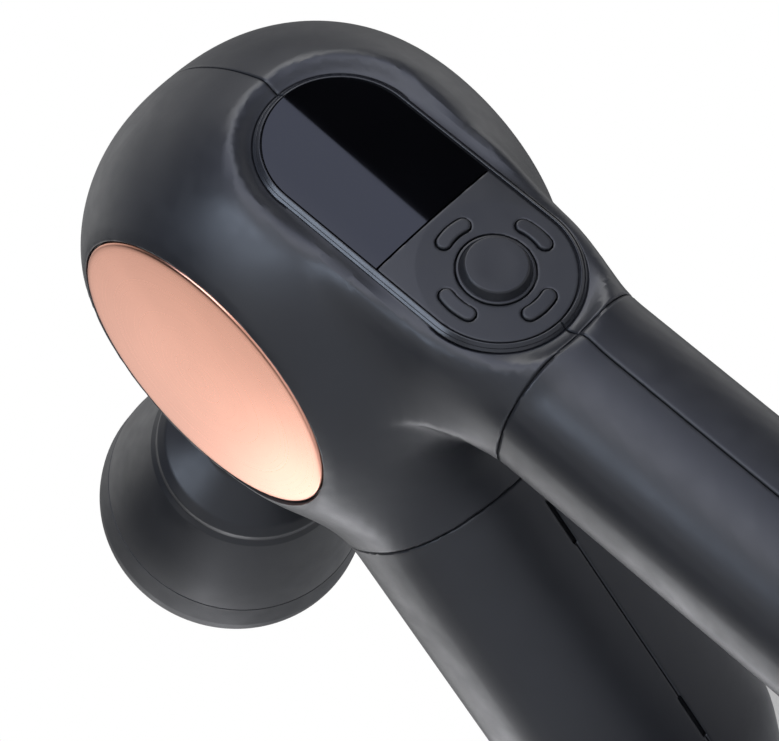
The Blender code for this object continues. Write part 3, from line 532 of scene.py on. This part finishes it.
def glossy(name, colour, roughness):
    """Polished black window over a display: faint smudges in the gloss."""
    material, tree, shader, place = new_material(name, colour, roughness)
    smudge = noise(tree, place, 70, 5)
    tree.links.new(ramp(tree, smudge, [(0.35, roughness), (0.75, roughness + 0.02)]),
                   shader.inputs["Roughness"])
    depth = noise(tree, place, 25, 2)
    tree.links.new(ramp(tree, depth, [(0.3, shade(colour, 0.8)), (0.7, shade(colour, 1.3))]),
                   shader.inputs["Base Color"])
    shader.inputs["IOR"].default_value = 1.52
    return material


def circuit(name, colour):
    """Solder mask over traces, with bright pads."""
    material, tree, shader, place = new_material(name, colour, 0.42)
    brick = tree.nodes.new("ShaderNodeTexBrick")
    brick.inputs["Scale"].default_value = 260
    brick.inputs["Color1"].default_value = (*shade(colour, 0.8), 1)
    brick.inputs["Color2"].default_value = (*shade(colour, 1.25), 1)
    brick.inputs["Mortar"].default_value = (*shade(colour, 1.9), 1)
    brick.inputs["Mortar Size"].default_value = 0.03
    tree.links.new(place, brick.inputs["Vector"])
    tree.links.new(brick.outputs["Color"], shader.inputs["Base Color"])
    bump(tree, shader, brick.outputs["Fac"], 0.00003, 0.4)
    return material


def wound(name, colour):
    """Enamelled wire laid side by side."""
    material, tree, shader, place = new_material(name, colour, 0.35, 0.7)
    wave = tree.nodes.new("ShaderNodeTexWave")
    wave.inputs["Scale"].default_value = 900
    wave.inputs["Distortion"].default_value = 1.5
    tree.links.new(place, wave.inputs["Vector"])
    tree.links.new(ramp(tree, wave.outputs["Fac"], [(0.2, shade(colour, 0.45)), (0.8, shade(colour, 1.1))]),
                   shader.inputs["Base Color"])
    bump(tree, shader, wave.outputs["Fac"], 0.00015, 0.8)
    return material


MATERIALS = {
    "shell": moulded("shell_soft_touch", (0.0150, 0.0158, 0.0185), 0.38, depth=0.000016),
    "grip": moulded("grip_soft_touch", (0.0145, 0.0152, 0.0178), 0.40, depth=0.000018),
    "bezel": moulded("bezel_polished", (0.0150, 0.0158, 0.0185), 0.24, depth=0.000004),
    "copper": spun("copper_cap", (0.90, 0.44, 0.31), 0.28),
    "glass": glossy("display_glass", (0.0016, 0.0016, 0.0020), 0.03),
    "plate": moulded("plate_satin", (0.0120, 0.0126, 0.0148), 0.42, 7000, 0.000006),
    "button": moulded("button_satin", (0.0105, 0.0110, 0.0128), 0.40, 7000, 0.000006),
    "steel": metal("ground_steel", (0.60, 0.61, 0.63), 0.26, (1, 1, 12)),
    "alloy": metal("cast_alloy", (0.68, 0.69, 0.70), 0.42, (1, 1, 1), 0.00003),
    "winding": wound("motor_winding", (0.62, 0.30, 0.14)),
    "bronze": metal("sintered_bronze", (0.58, 0.40, 0.20), 0.38, (1, 1, 1), 0.00001),
    "board": circuit("solder_mask", (0.025, 0.15, 0.07)),
    "cell": moulded("cell_film", (0.06, 0.17, 0.42), 0.32, 2000, 0.00001, coat=0.3),
    "frame_plastic": moulded("hub_plastic", (0.0130, 0.0136, 0.0160), 0.40, 5000, 0.00001),
    "rubber": moulded("seal_rubber", (0.014, 0.014, 0.015), 0.68, 5000, 0.00002),
    "foam": moulded("pad_foam", (0.0140, 0.0146, 0.0170), 0.50, 3500, 0.00004),
}


# --- Housing -----------------------------------------------------------------------------------
class Hole:
    """A round or round-ended opening: its middle, the way out of it, and its long direction."""

    def __init__(self, centre, out, radius, along=(0, 1, 0), reach=0.0, floor=0.0):
        self.centre, self.out, self.along = (np.array(v, float) for v in (centre, out, along))
        self.radius, self.reach, self.floor = radius, reach, floor

    def split(self, points):
        """Height above the middle, and place from the spine within the opening's plane."""
        away = points - self.centre
        height = away @ self.out
        along = np.clip(away @ self.along, -self.reach, self.reach)
        return height, away - height[:, None] * self.out - along[:, None] * self.along, along

    def distance(self, points):
        height, side, _ = self.split(points)
        return np.where(height > self.floor, np.linalg.norm(side, axis=1) - self.radius, 0.1)

    def moved(self, points, offset, height=None):
        """The points moved to an offset from the edge, and to a height if one is given."""
        level, side, along = self.split(points)
        side /= np.maximum(np.linalg.norm(side, axis=1), 1e-9)[:, None]
        level = level if height is None else np.full(len(points), height)
        return (self.centre + self.out * level[:, None] + self.along * along[:, None]
                + side * (self.radius + offset))


def positions(verts):
    return np.array([v.co for v in verts]).reshape(-1, 3)


def split_along(bm, hole, offset):
    """Cuts the surface's faces along a line at an offset from the opening's edge."""
    bm.verts.index_update()
    verts = list(bm.verts)
    value = hole.distance(positions(verts)) - offset
    close = np.nonzero(np.abs(value) < 0.00022)[0]
    if len(close):
        snapped = hole.moved(positions([verts[i] for i in close]), offset)
        for i, place in zip(close, snapped):
            verts[i].co = place
        value[close] = 0.0
    level = {v: value[i] for i, v in enumerate(verts)}
    line = {verts[i] for i in close}
    crossed = [e for e in bm.edges if level[e.verts[0]] * level[e.verts[1]] < 0]
    for edge in crossed:
        a, b = edge.verts
        share = level[a] / (level[a] - level[b])
        _, made = bmesh.utils.edge_split(edge, a, share)
        made.co = Vector(hole.moved(positions([made]), offset)[0])
        level[made] = 0.0
        line.add(made)
    for face in {f for v in line for f in v.link_faces}:
        on = [v for v in face.verts if v in line]
        if len(on) == 2 and not bm.edges.get(on):
            bmesh.utils.face_split(face, *on)
    return level


def open_hole(bm, hole, rings, edges=(0.0003,), field=None):
    """Opens the surface at a hole, rounds its edge, and builds the wall inward, ring by ring."""
    for edge in edges:
        split_along(bm, hole, edge)
    level = split_along(bm, hole, 0.0)
    if field:
        near = [v for v in bm.verts if level[v] < 0.004]
        for v, place in zip(near, settle(field, positions(near), 0.0002)):
            v.co = place
        line = [v for v in near if abs(level[v]) < 1e-9]
        for v, place in zip(line, hole.moved(positions(line), 0.0)):
            v.co = place
    inside = [f for f in bm.faces if sum(level.get(v, 0.1) for v in f.verts) < -1e-7
              and all(level.get(v, 0.1) < 1e-7 for v in f.verts)]
    bmesh.ops.delete(bm, geom=inside, context="FACES")
    loop = [e for e in bm.edges if e.is_boundary and all(abs(level.get(v, 0.1)) < 1e-7 for v in e.verts)]
    for offset, height in rings:
        verts = list({v for e in loop for v in e.verts})
        if height == "sink":  # pushed straight in, to round the edge
            bm.normal_update()
            for v in verts:
                v.co -= v.normal * offset
            continue
        made = bmesh.ops.extrude_edge_only(bm, edges=loop)["geom"]
        loop = [g for g in made if isinstance(g, bmesh.types.BMEdge) and g.is_boundary]
        ends = {v for e in loop for v in e.verts}
        verts = [g for g in made if isinstance(g, bmesh.types.BMVert) and g in ends]
        for v, place in zip(verts, hole.moved(positions(verts), offset, height)):
            v.co = place


def panel_hole():
    middle, reach = (PANEL_TOP + PANEL_END) / 2, (PANEL_END - PANEL_TOP) / 2 - PANEL_HALF
    down, out = np.array([DOWN[0], 0, DOWN[1]]), np.array([OUT[0], 0, OUT[1]])
    return Hole(AXIS + down * middle, out, PANEL_HALF + RIM_WIDTH, down, reach, 0.030)


def screw_places():
    """Axes of the housing screws in the XZ plane."""
    rear, front = HEAD_AT + REAR_OUT * REAR_OFFSET, HEAD_AT + FRONT_IN * FRONT_OFFSET
    found = [rear + REAR * station for station in SCREWS_REAR] + [front + FRONT * SCREW_FRONT]
    found += [HEAD_AT + np.array([-0.35, 0.937]) * 0.0366, HEAD_AT - FRONT_IN * 0.012 + FRONT * 0.0410]
    return [np.array([p[0], 0, p[1]]) for p in found]


def open_housing(bm):
    """The panel's rim and well, the caps' seats, the nose's bore, the screws' bores and the port."""
    face, w = PANEL_FACE, RIM_WIDTH
    rim = [(-0.00004, face - LAND + 0.00004), (-0.00012, face - LAND + 0.00014), (-0.00096, face + 0.00018),
           (-0.00104, face + 0.00025), (-0.00112, face + 0.00028), (-w + 0.00008, face + 0.00026),
           (-w + 0.00001, face + 0.00016), (-w, face - 0.0014), (-w - 0.0012, face - 0.0015)]
    open_hole(bm, panel_hole(), rim, (0.0032, 0.0019, 0.0010, 0.0004), housing)
    for side in (-1, 1):
        seat = Hole(AXIS, (0, side, 0), CAP_SEAT, (1, 0, 0), 0, HALF_WIDTH - 0.0012)
        open_hole(bm, seat, [(-0.00012, HALF_WIDTH - 0.00008), (-0.0002, HALF_WIDTH - 0.00025),
                             (-0.0002, HALF_WIDTH - CAP_SINK), (-0.0120, HALF_WIDTH - CAP_SINK)])
    nose = Hole(AXIS, (-1, 0, 0), NOSE_BORE, (0, 1, 0), 0, NOSE_FRONT - 0.0015)
    open_hole(bm, nose, [(-0.0003, NOSE_FRONT - 0.0001), (-0.0004, NOSE_FRONT - 0.0004),
                         (-0.0004, NOSE_FRONT - 0.0075)])
    for place in screw_places():
        bore = Hole(place, (0, 1, 0), SCREW_BORE, (1, 0, 0), 0, 0.005)
        open_hole(bm, bore, [(0.00012, "sink"), (-0.00005, HEAD_SEAT + 0.0030), (-0.00005, HEAD_SEAT)], (0.0005,))
    port = Hole((PORT_AT[0], 0, PORT_AT[1]), (REAR_OUT[0], 0, REAR_OUT[1]), PORT_HALF, (0, 1, 0), PORT_REACH, 0.010)
    open_hole(bm, port, [(0.00012, "sink"), (-0.00005, 0.0135), (-0.00005, 0.0100)], (0.0005,))


def arm_marks(co):
    """(station from the head along the rear arm, along the front arm, True if nearer the rear arm)."""
    here = np.array([co[0] - AXIS[0], co[2] - AXIS[2]])
    divide = direction(math.radians(-99.5))
    side = here @ np.array([-divide[1], divide[0]]) - 0.0185
    return here @ REAR, here @ FRONT, side > 0


def cut_planes(bm, levels, point_of, normal, chosen):
    """Cuts the chosen faces along parallel planes."""
    for level in levels:
        faces = [f for f in bm.faces if chosen(f.calc_center_median())]
        geom = list({v for f in faces for v in f.verts}) + list({e for f in faces for e in f.edges}) + faces
        bmesh.ops.bisect_plane(bm, geom=geom, plane_co=point_of(level), plane_no=normal, dist=1e-7)


def make_tongue(bm):
    """Thin tongue of the shells behind each seam, so that the seams are shadow and not openings."""
    depth, reach = 0.0011, 0.0014

    def outside(c):
        rear, front, is_rear = arm_marks(c)
        station, mark = (rear, REAR_RING) if is_rear else (front, FRONT_RING)
        along, rise = panel_coordinates(c.x, c.z)
        panel = rise > 0.030 and stadium_distance(along, c.y, PANEL_TOP, PANEL_END, PANEL_HALF) < RIM_WIDTH + 0.0006
        nose = c.x < AXIS[0] - 0.055
        from_port = np.array([c.x, c.z]) - PORT_AT
        socket = math.hypot(*from_port) < 0.022 and from_port @ REAR_OUT > 0
        cap = abs(c.y) > HALF_WIDTH - 0.002 and math.hypot(c.x - AXIS[0], c.z - AXIS[2]) < RIM + 0.001
        on_seam = abs(c.y) < reach or abs(station - mark) < reach
        return panel or nose or socket or cap or not on_seam

    part = bm.copy()
    bmesh.ops.delete(part, geom=[f for f in part.faces if outside(f.calc_center_median())], context="FACES")
    bmesh.ops.remove_doubles(part, verts=part.verts, dist=1e-6)
    part.normal_update()
    for v in part.verts:
        v.co -= v.normal * depth
    mesh = bpy.data.meshes.new("seam_tongue")
    part.to_mesh(mesh)
    part.free()
    obj = finish_piece("seam_tongue", mesh, MATERIALS["frame_plastic"], "housing", [])
    solid = obj.modifiers.new("wall", "SOLIDIFY")
    solid.thickness, solid.offset = 0.0005, -1


def make_housing():
    """One surface for the whole housing, cut along the seams into skins that stand for the four shells."""
    low = np.array(CAD_BOX[0]) - 0.004
    high = np.array(CAD_BOX[1]) + 0.004
    low[0] = AXIS[0] - 0.070 - 0.0275
    points, faces = isosurface(housing, low, high, GRID)
    bm = bmesh.new()
    verts = [bm.verts.new(p) for p in points.tolist()]
    for quad in faces.tolist():
        bm.faces.new([verts[i] for i in quad])
    bmesh.ops.recalc_face_normals(bm, faces=bm.faces)
    open_housing(bm)
    half = SEAM / 2
    seam = (-0.0006, -half, half, 0.0006)
    cut_planes(bm, seam, lambda y: (0, y, 0), (0, 1, 0), lambda c: abs(c.y) < 0.004)
    rear3, front3 = Vector((REAR[0], 0, REAR[1])), Vector((FRONT[0], 0, FRONT[1]))
    centre = Vector(AXIS)
    for normal, station, rear in ((rear3, REAR_RING, True), (front3, FRONT_RING, False)):
        levels = [station + d for d in (-0.0005, 0.0, SEAM, SEAM + 0.0005)]

        def near(c, rear=rear, station=station, normal=normal):
            marks = arm_marks(c)
            return marks[2] == rear and abs((c - centre).dot(normal) - station) < 0.006

        cut_planes(bm, levels, lambda s, n=normal: centre + n * s, normal, near)

    def inner(c, spare=0.0):
        """True on the inner side of the front arm, beside a slot."""
        _, front, is_rear = arm_marks(c)
        inside = (c.x - AXIS[0]) * FRONT_IN[0] + (c.z - AXIS[2]) * FRONT_IN[1] > FRONT_OFFSET
        return not is_rear and inside and any(a - spare < front < b + spare for a, b in SLOTS_ALONG)

    for ends in SLOTS_ALONG:
        cut_planes(bm, ends, lambda s: centre + front3 * s, front3, lambda c: abs(c.y) < 0.002 and inner(c, 0.002))
    cut_planes(bm, (-SLOT_HALF, SLOT_HALF), lambda y: (0, y, 0), (0, 1, 0), lambda c: abs(c.y) < 0.002 and inner(c))

    def area(c):
        rear, front, is_rear = arm_marks(c)
        station, mark = (rear, REAR_RING) if is_rear else (front, FRONT_RING)
        if abs(c.y) < (SLOT_HALF if inner(c) else half) or mark < station < mark + SEAM:
            return None
        along, rise = panel_coordinates(c.x, c.z)
        if rise > 0.036 and stadium_distance(along, c.y, PANEL_TOP, PANEL_END, PANEL_HALF) < RIM_WIDTH - 0.00002:
            return "panel_bezel"
        return ("grip" if station > mark else "head") + ("_shell_right" if c.y > 0 else "_shell_left")

    make_tongue(bm)
    labels = [area(f.calc_center_median()) for f in bm.faces]
    bm.verts.ensure_lookup_table()
    for name in ("head_shell_left", "head_shell_right", "grip_shell_left", "grip_shell_right", "panel_bezel"):
        part = bm.copy()
        part.faces.ensure_lookup_table()
        gone = [f for f, label in zip(part.faces, labels) if label != name]
        bmesh.ops.delete(part, geom=gone, context="FACES")
        bmesh.ops.remove_doubles(part, verts=part.verts, dist=1e-6)
        edge = {v for e in part.edges if e.is_boundary for v in e.verts if name != "panel_bezel"}
        part.normal_update()
        for v in edge:
            v.co -= v.normal * 0.00008
        mesh = bpy.data.meshes.new(name + "_skin")
        part.to_mesh(mesh)
        part.free()
        bezel = name == "panel_bezel"
        slot = "shell" if bezel else name.split("_")[0].replace("head", "shell")
        obj = finish_piece(name + "_skin", mesh, MATERIALS["bezel" if bezel else slot], "housing",
                           [] if bezel else [name], 50)
        solid = obj.modifiers.new("wall", "SOLIDIFY")
        solid.thickness, solid.offset = WALL, -1
        even = obj.modifiers.new("normals", "WEIGHTED_NORMAL")
        even.keep_sharp = True
    bm.free()


make_housing()


# --- Side caps ---------------------------------------------------------------------------------
def make_caps():
    back, rim = HALF_WIDTH - CAP_SINK + GAP, HALF_WIDTH + 0.0001
    outline = [(0, back), (CAP_RADIUS - 0.0004, back), (CAP_RADIUS, back + 0.0003), (CAP_RADIUS, rim - 0.00035),
               (CAP_RADIUS - 0.0001, rim - 0.00012), (CAP_RADIUS - 0.0003, rim), (CAP_RADIUS - 0.0006, rim + 0.00006)]
    outline += [(CAP_RADIUS * t, rim + 0.0010 * (1 - t * t) + 0.00004) for t in np.linspace(0.96, 0, 26)]
    for side, matrix in (("left", AGAINST_Y), ("right", ALONG_Y)):
        points, faces = lathe(outline, 180)
        piece(f"copper_cap_{side}", points, faces, MATERIALS["copper"], "housing", [f"side_cap_{side}"],
              matrix)


make_caps()


# --- Control panel -----------------------------------------------------------------------------
def crown(along, across):
    """Rise of the window and plate towards their middle line."""
    side = np.hypot(np.maximum(along - BUTTON_AT, 0), across) / PANEL_HALF
    return CROWN * (1 - np.minimum(side, 1) ** 2)


def dish(along, across):
    """Depth of the shallow dish round the button."""
    r = np.hypot(along - BUTTON_AT, across)
    return 0.00040 * np.maximum(1 - (r / 0.0136) ** 2, 0)


def bean_distance(along, across, angle):
    """Distance in the plane to the curved key centred at an angle on the orbit round the button."""
    x, y = along - BUTTON_AT, across
    c, s = math.cos(angle), math.sin(angle)
    x, y = x * c + y * s, -x * s + y * c
    turn = np.clip(np.arctan2(y, x), -KEY_HALF_ANGLE, KEY_HALF_ANGLE)
    return np.hypot(x - KEY_ORBIT * np.cos(turn), y - KEY_ORBIT * np.sin(turn)) - KEY_HALF_WIDTH


KEYS = {"key_up": math.pi, "key_down": 0.0, "key_left": -math.pi / 2, "key_right": math.pi / 2}


def slab(flat, low, high, radius):
    """Distance to a plate with rounded edges; high may vary over the plane."""
    rise = np.maximum(flat[1] - high, low - flat[1])
    edge = flat[0] + radius
    rise = rise + radius
    return np.minimum(np.maximum(edge, rise), 0) + np.hypot(np.maximum(edge, 0), np.maximum(rise, 0)) - radius


def control_plate(x, y, z):
    outer = stadium_distance(x, y, PANEL_TOP, PANEL_END - GAP, PANEL_HALF - GAP)
    outer = np.maximum(outer, PANEL_SPLIT + GAP / 2 - x)
    holes = np.hypot(x - BUTTON_AT, y) - BUTTON_RADIUS - GAP * 0.8
    for angle in KEYS.values():
        holes = np.minimum(holes, bean_distance(x, y, angle) - GAP * 0.7)
    flat = np.maximum(outer, -holes)
    return slab((flat, z), PANEL_FACE - 0.0014, PANEL_FACE + crown(x, y) - dish(x, y), 0.00018)


def window_face():
    """Grid of the window's crowned face, from its round end to the split: points and quads."""
    half = PANEL_HALF - GAP
    turn = np.radians(np.linspace(2, 90, 24))
    rows = [(PANEL_TOP + PANEL_HALF - half * math.cos(a), half * math.sin(a)) for a in turn]
    rows += [(x, half) for x in np.linspace(PANEL_TOP + PANEL_HALF, PANEL_SPLIT - GAP / 2, 18)[1:]]
    across = np.sin(np.linspace(-math.pi / 2, math.pi / 2, 33))
    points = [(x, y * u, PANEL_FACE + crown(x, y * u)) for x, y in rows for u in across]
    count = len(across)
    faces = [(i * count + j, (i + 1) * count + j, (i + 1) * count + j + 1, i * count + j + 1)
             for i in range(len(rows) - 1) for j in range(count - 1)]
    return points, faces


def thickened(points, faces, depth):
    """The open face made into a closed plate by a wall and a back, depth below it."""
    count = len(points)
    edges = {}
    for face in faces:
        for a, b in zip(face, face[1:] + face[:1]):
            edges[(a, b)] = True
    wall = [(b, a, a + count, b + count) for a, b in edges if (b, a) not in edges]
    back = [tuple(i + count for i in reversed(face)) for face in faces]
    return list(points) + [(x, y, z - depth) for x, y, z in points], faces + back + wall


def key_field(angle):
    def field(x, y, z):
        flat = bean_distance(x, y, angle)
        return slab((flat, z), PANEL_FACE - 0.0016, PANEL_FACE + crown(x, y) + 0.00022, 0.00035)
    return field


def make_panel():
    low, high = (PANEL_SPLIT - 0.001, -0.0155, PANEL_FACE - 0.0020), (PANEL_END + 0.001, 0.0155, PANEL_FACE + 0.0014)
    points, faces = isosurface(control_plate, low, high, 0.00022)
    piece("control_plate_face", points, faces, MATERIALS["plate"], "housing", ["control_plate"], PANEL)
    points, faces = thickened(*window_face(), 0.0014)
    glass = piece("display_glass", points, faces, MATERIALS["glass"], "housing", ["display_window"], PANEL)
    bevel = glass.modifiers.new("edge", "BEVEL")
    bevel.width, bevel.segments, bevel.limit_method = 0.0002, 3, "ANGLE"
    bevel.angle_limit = math.radians(50)
    bevel.harden_normals = True
    for name, angle in KEYS.items():
        x, y = BUTTON_AT + KEY_ORBIT * math.cos(angle), KEY_ORBIT * math.sin(angle)
        low, high = (x - 0.0048, y - 0.0048, PANEL_FACE - 0.0020), (x + 0.0048, y + 0.0048, PANEL_FACE + 0.0014)
        points, faces = isosurface(key_field(angle), low, high, 0.00018)
        piece(name + "_cap", points, faces, MATERIALS["plate"], name, [name], PANEL)
    face = PANEL_FACE + CROWN - 0.00036
    outline = [(0, PANEL_FACE - 0.0026), (BUTTON_WELL, PANEL_FACE - 0.0026), (BUTTON_WELL, PANEL_FACE - 0.0018),
               (BUTTON_RADIUS, PANEL_FACE - 0.0018), (BUTTON_RADIUS, face), (0.00635, face + 0.00005),
               (0.00620, face - 0.0002), (0.00560, face + 0.0014), (0.00535, face + 0.00170),
               (0.0030, face + 0.00164), (0, face + 0.00161)]
    outline = rounded(outline, {4: 0.00022, 5: 0.0001, 6: 0.0001, 7: 0.0003, 8: 0.0003})
    points, faces = lathe(outline, 112)
    piece("centre_button_cap", points, faces, MATERIALS["button"], "centre_button", ["centre_button"],
          PANEL @ Matrix.Translation((BUTTON_AT, 0, 0)))


make_panel()


# --- Attachment --------------------------------------------------------------------------------
def make_attachment():
    bore = ATTACHMENT_BORE
    hub = [(bore, 0.1065), (bore, 0.0790), (0.0100, 0.0790), (0.0112, 0.0800), (0.0122, 0.0850), (0.0160, 0.0880),
           (0.0197, 0.0905), (0.0212, 0.0925), (0.0213, 0.0942), (0.0222, 0.0956), (0.0266, 0.1080),
           (0.0292, 0.1189), (0, 0.1189), (0, 0.1065)]
    hub = rounded(hub, {2: 0.0004, 3: 0.0008, 4: 0.0020, 5: 0.003, 6: 0.0030, 7: 0.0009, 8: 0.0006, 9: 0.0012,
                        10: 0.008, 11: 0.0002}, 8)
    points, faces = lathe(hub, 128)
    piece("attachment_cone", points, faces, MATERIALS["frame_plastic"], "attachment", ["attachment_hub"],
          STROKE)
    pad = [(0, PAD_BACK), (0.02925, PAD_BACK), (PAD_RADIUS, 0.1262), (PAD_RADIUS, PAD_FRONT), (0, PAD_FRONT)]
    pad = rounded(pad, {1: 0.0001, 2: 0.0035, 3: 0.0062}, 14)
    pad = pad[:-1] + [(PAD_RADIUS * t * 0.78, PAD_FRONT) for t in np.linspace(0.96, 0, 9)]
    points, faces = lathe(pad, 128)
    soft = piece("massage_pad", points, faces, MATERIALS["foam"], "attachment", ["attachment_pad"], STROKE)


make_attachment()


# --- Carried-over parts ------------------------------------------------------------------------
SLOTS = {s["node"]: s["material_slot"] for s in frame["record"]["subparts"]}
SLOTS["charge_port"] = "frame_plastic"  # steel in the record, but its solid fills the port's mouth and lit steel there showed as plain white; the dark plastic is painted shade standing in for the port's shaded opening
for node_name, node in NODES.items():
    material = MATERIALS[SLOTS[node_name]]
    if not node.data.materials:
        node.data.materials.append(material)
    for slot in node.material_slots:
        slot.link = "OBJECT"
        slot.material = material


# --- Studio ------------------------------------------------------------------------------------
CENTRE = Vector(AXIS)
RIGHT, UP = Vector((0.1844, 0.6783, -0.7113)), Vector((0.3784, 0.6189, 0.6883))
FORWARD = Vector((-0.9071, 0.3961, 0.1425))


def make_camera():
    data = bpy.data.cameras.new("camera")
    data.sensor_width = 36
    data.lens = 36 * 2700 / 779
    camera = link(bpy.data.objects.new("camera", data))
    turn = Matrix((RIGHT, UP, -FORWARD)).transposed().to_4x4()
    camera.matrix_world = Matrix.Translation(CENTRE + Vector((0.4488, -0.2017, -0.0930))) @ turn
    bpy.context.scene.camera = camera


def lobe(tree, direction, toward, narrow, wide, strength):
    """Soft round glow in the surroundings, around one way out."""
    dot = tree.nodes.new("ShaderNodeVectorMath")
    dot.operation = "DOT_PRODUCT"
    dot.inputs[1].default_value = Vector(toward).normalized()
    tree.links.new(direction, dot.inputs[0])
    fade = tree.nodes.new("ShaderNodeMapRange")
    fade.interpolation_type = "SMOOTHSTEP"
    fade.inputs["From Min"].default_value = math.cos(math.radians(wide))
    fade.inputs["From Max"].default_value = math.cos(math.radians(narrow))
    fade.inputs["To Max"].default_value = strength
    tree.links.new(dot.outputs["Value"], fade.inputs["Value"])
    return fade.outputs["Result"]


def add(tree, first, second):
    node = tree.nodes.new("ShaderNodeMath")
    tree.links.new(first, node.inputs[0])
    tree.links.new(second, node.inputs[1])
    return node.outputs["Value"]


# Not set by hand: the strengths here, and the softboxes' strengths and tints below, come from a least-squares fit of
# one render per light to the photograph's tones, made outside this script. This is an open fault.
GLOWS = [  # direction, inner and outer half angles in degrees, strength
    ((-0.40, 0.85, 0.30), 12, 42, 0.22), ((-0.28, 0.50, 0.82), 12, 42, 0.14), ((-0.45, -0.06, 0.90), 8, 38, 0.60),
    ((-0.85, -0.05, 0.50), 8, 38, 0.45), ((0.38, -0.92, 0.05), 8, 34, 0.20), ((-0.10, 0.97, 0.20), 8, 34, 0.65),
    ((0.40, 0.45, 0.80), 5, 23, 4.00), ((-0.92, -0.38, 0.08), 4, 19, 0.95), ((0.92, -0.25, 0.36), 8, 34, 1.65),
    ((0.10, -1.00, -0.02), 8, 34, 0.72),
]


def make_world():
    """White behind the object; for light and reflections, soft glows fitted to the photograph."""
    world = bpy.data.worlds.new("studio")
    bpy.context.scene.world = world
    world.use_nodes = True
    tree = world.node_tree
    background = tree.nodes["Background"]
    way = tree.nodes.new("ShaderNodeTexCoord").outputs["Generated"]
    total = None
    for toward, narrow, wide, strength in GLOWS:
        glow = lobe(tree, way, toward, narrow, wide, strength)
        total = glow if total is None else add(tree, total, glow)
    seen = tree.nodes.new("ShaderNodeLightPath")
    mix = tree.nodes.new("ShaderNodeMix")
    mix.data_type = "FLOAT"
    tree.links.new(seen.outputs["Is Camera Ray"], mix.inputs["Factor"])
    tree.links.new(total, mix.inputs["A"])
    mix.inputs["B"].default_value = 1.0
    tree.links.new(mix.outputs["Result"], background.inputs["Strength"])
    background.inputs["Color"].default_value = (1, 1, 1, 1)


def make_floor():
    size = 3.0
    floor_mesh = bpy.data.meshes.new("floor")
    floor_mesh.from_pydata([(-size, -size, -0.0002), (size, -size, -0.0002), (size, size, -0.0002),
                            (-size, size, -0.0002)], [], [(0, 1, 2, 3)])
    floor = link(bpy.data.objects.new("floor", floor_mesh))
    material, tree, shader, place = new_material("pale_floor", (0.64, 0.64, 0.645), 0.8)
    slow = noise(tree, place, 3, 3)
    tree.links.new(ramp(tree, slow, [(0.3, 0.63), (0.7, 0.65)]), shader.inputs["Base Color"])
    shader.inputs["Emission Color"].default_value = (1, 1, 1, 1)
    shader.inputs["Emission Strength"].default_value = 0.05
    floor_mesh.materials.append(material)


def softbox(name, middle, along, size, radiance, colour):
    """Light panel facing the head, its long side laid along a direction."""
    data = bpy.data.lights.new(name, "AREA")
    data.shape = "RECTANGLE"
    data.size, data.size_y = size
    data.energy = radiance * math.pi * size[0] * size[1]
    data.color = colour
    lamp = link(bpy.data.objects.new(name, data))
    back = (Vector(middle) - CENTRE).normalized()
    side = (Vector(along) - back * Vector(along).dot(back)).normalized()
    turn = Matrix((side, back.cross(side), back)).transposed().to_4x4()
    lamp.matrix_world = Matrix.Translation(middle) @ turn


def make_lights():
    down, out = Vector((DOWN[0], 0, DOWN[1])), Vector((OUT[0], 0, OUT[1]))
    mirrored = FORWARD - 2 * FORWARD.dot(out) * out  # where the window's middle line looks
    left = Vector((0, -1, 0))
    left = (left - mirrored * left.dot(mirrored)).normalized()
    edge = CENTRE + out * PANEL_FACE + mirrored * 0.80
    softbox("front_softbox", edge + left * 0.336, down, (1.10, 0.80), 1.3, (0.92, 1.0, 1.36))
    softbox("left_softbox", CENTRE + Vector((0.52, -0.73, 0.43)) * 0.75, down, (0.44, 0.22), 6.0, (0.86, 1.0, 1.24))
    softbox("low_softbox", CENTRE + Vector((-0.92, -0.37, -0.02)) * 0.80, (0, 0, 1), (0.20, 0.18), 1.8, (1, 1, 1.04))
    softbox("rear_softbox", CENTRE + Vector((-0.91, -0.33, -0.27)) * 0.40, (0, 1, 0), (0.19, 0.07), 2.6, (1, 1, 1.05))


make_camera()
make_world()
make_floor()
make_lights()
bpy.context.scene.view_settings.view_transform = "Standard"
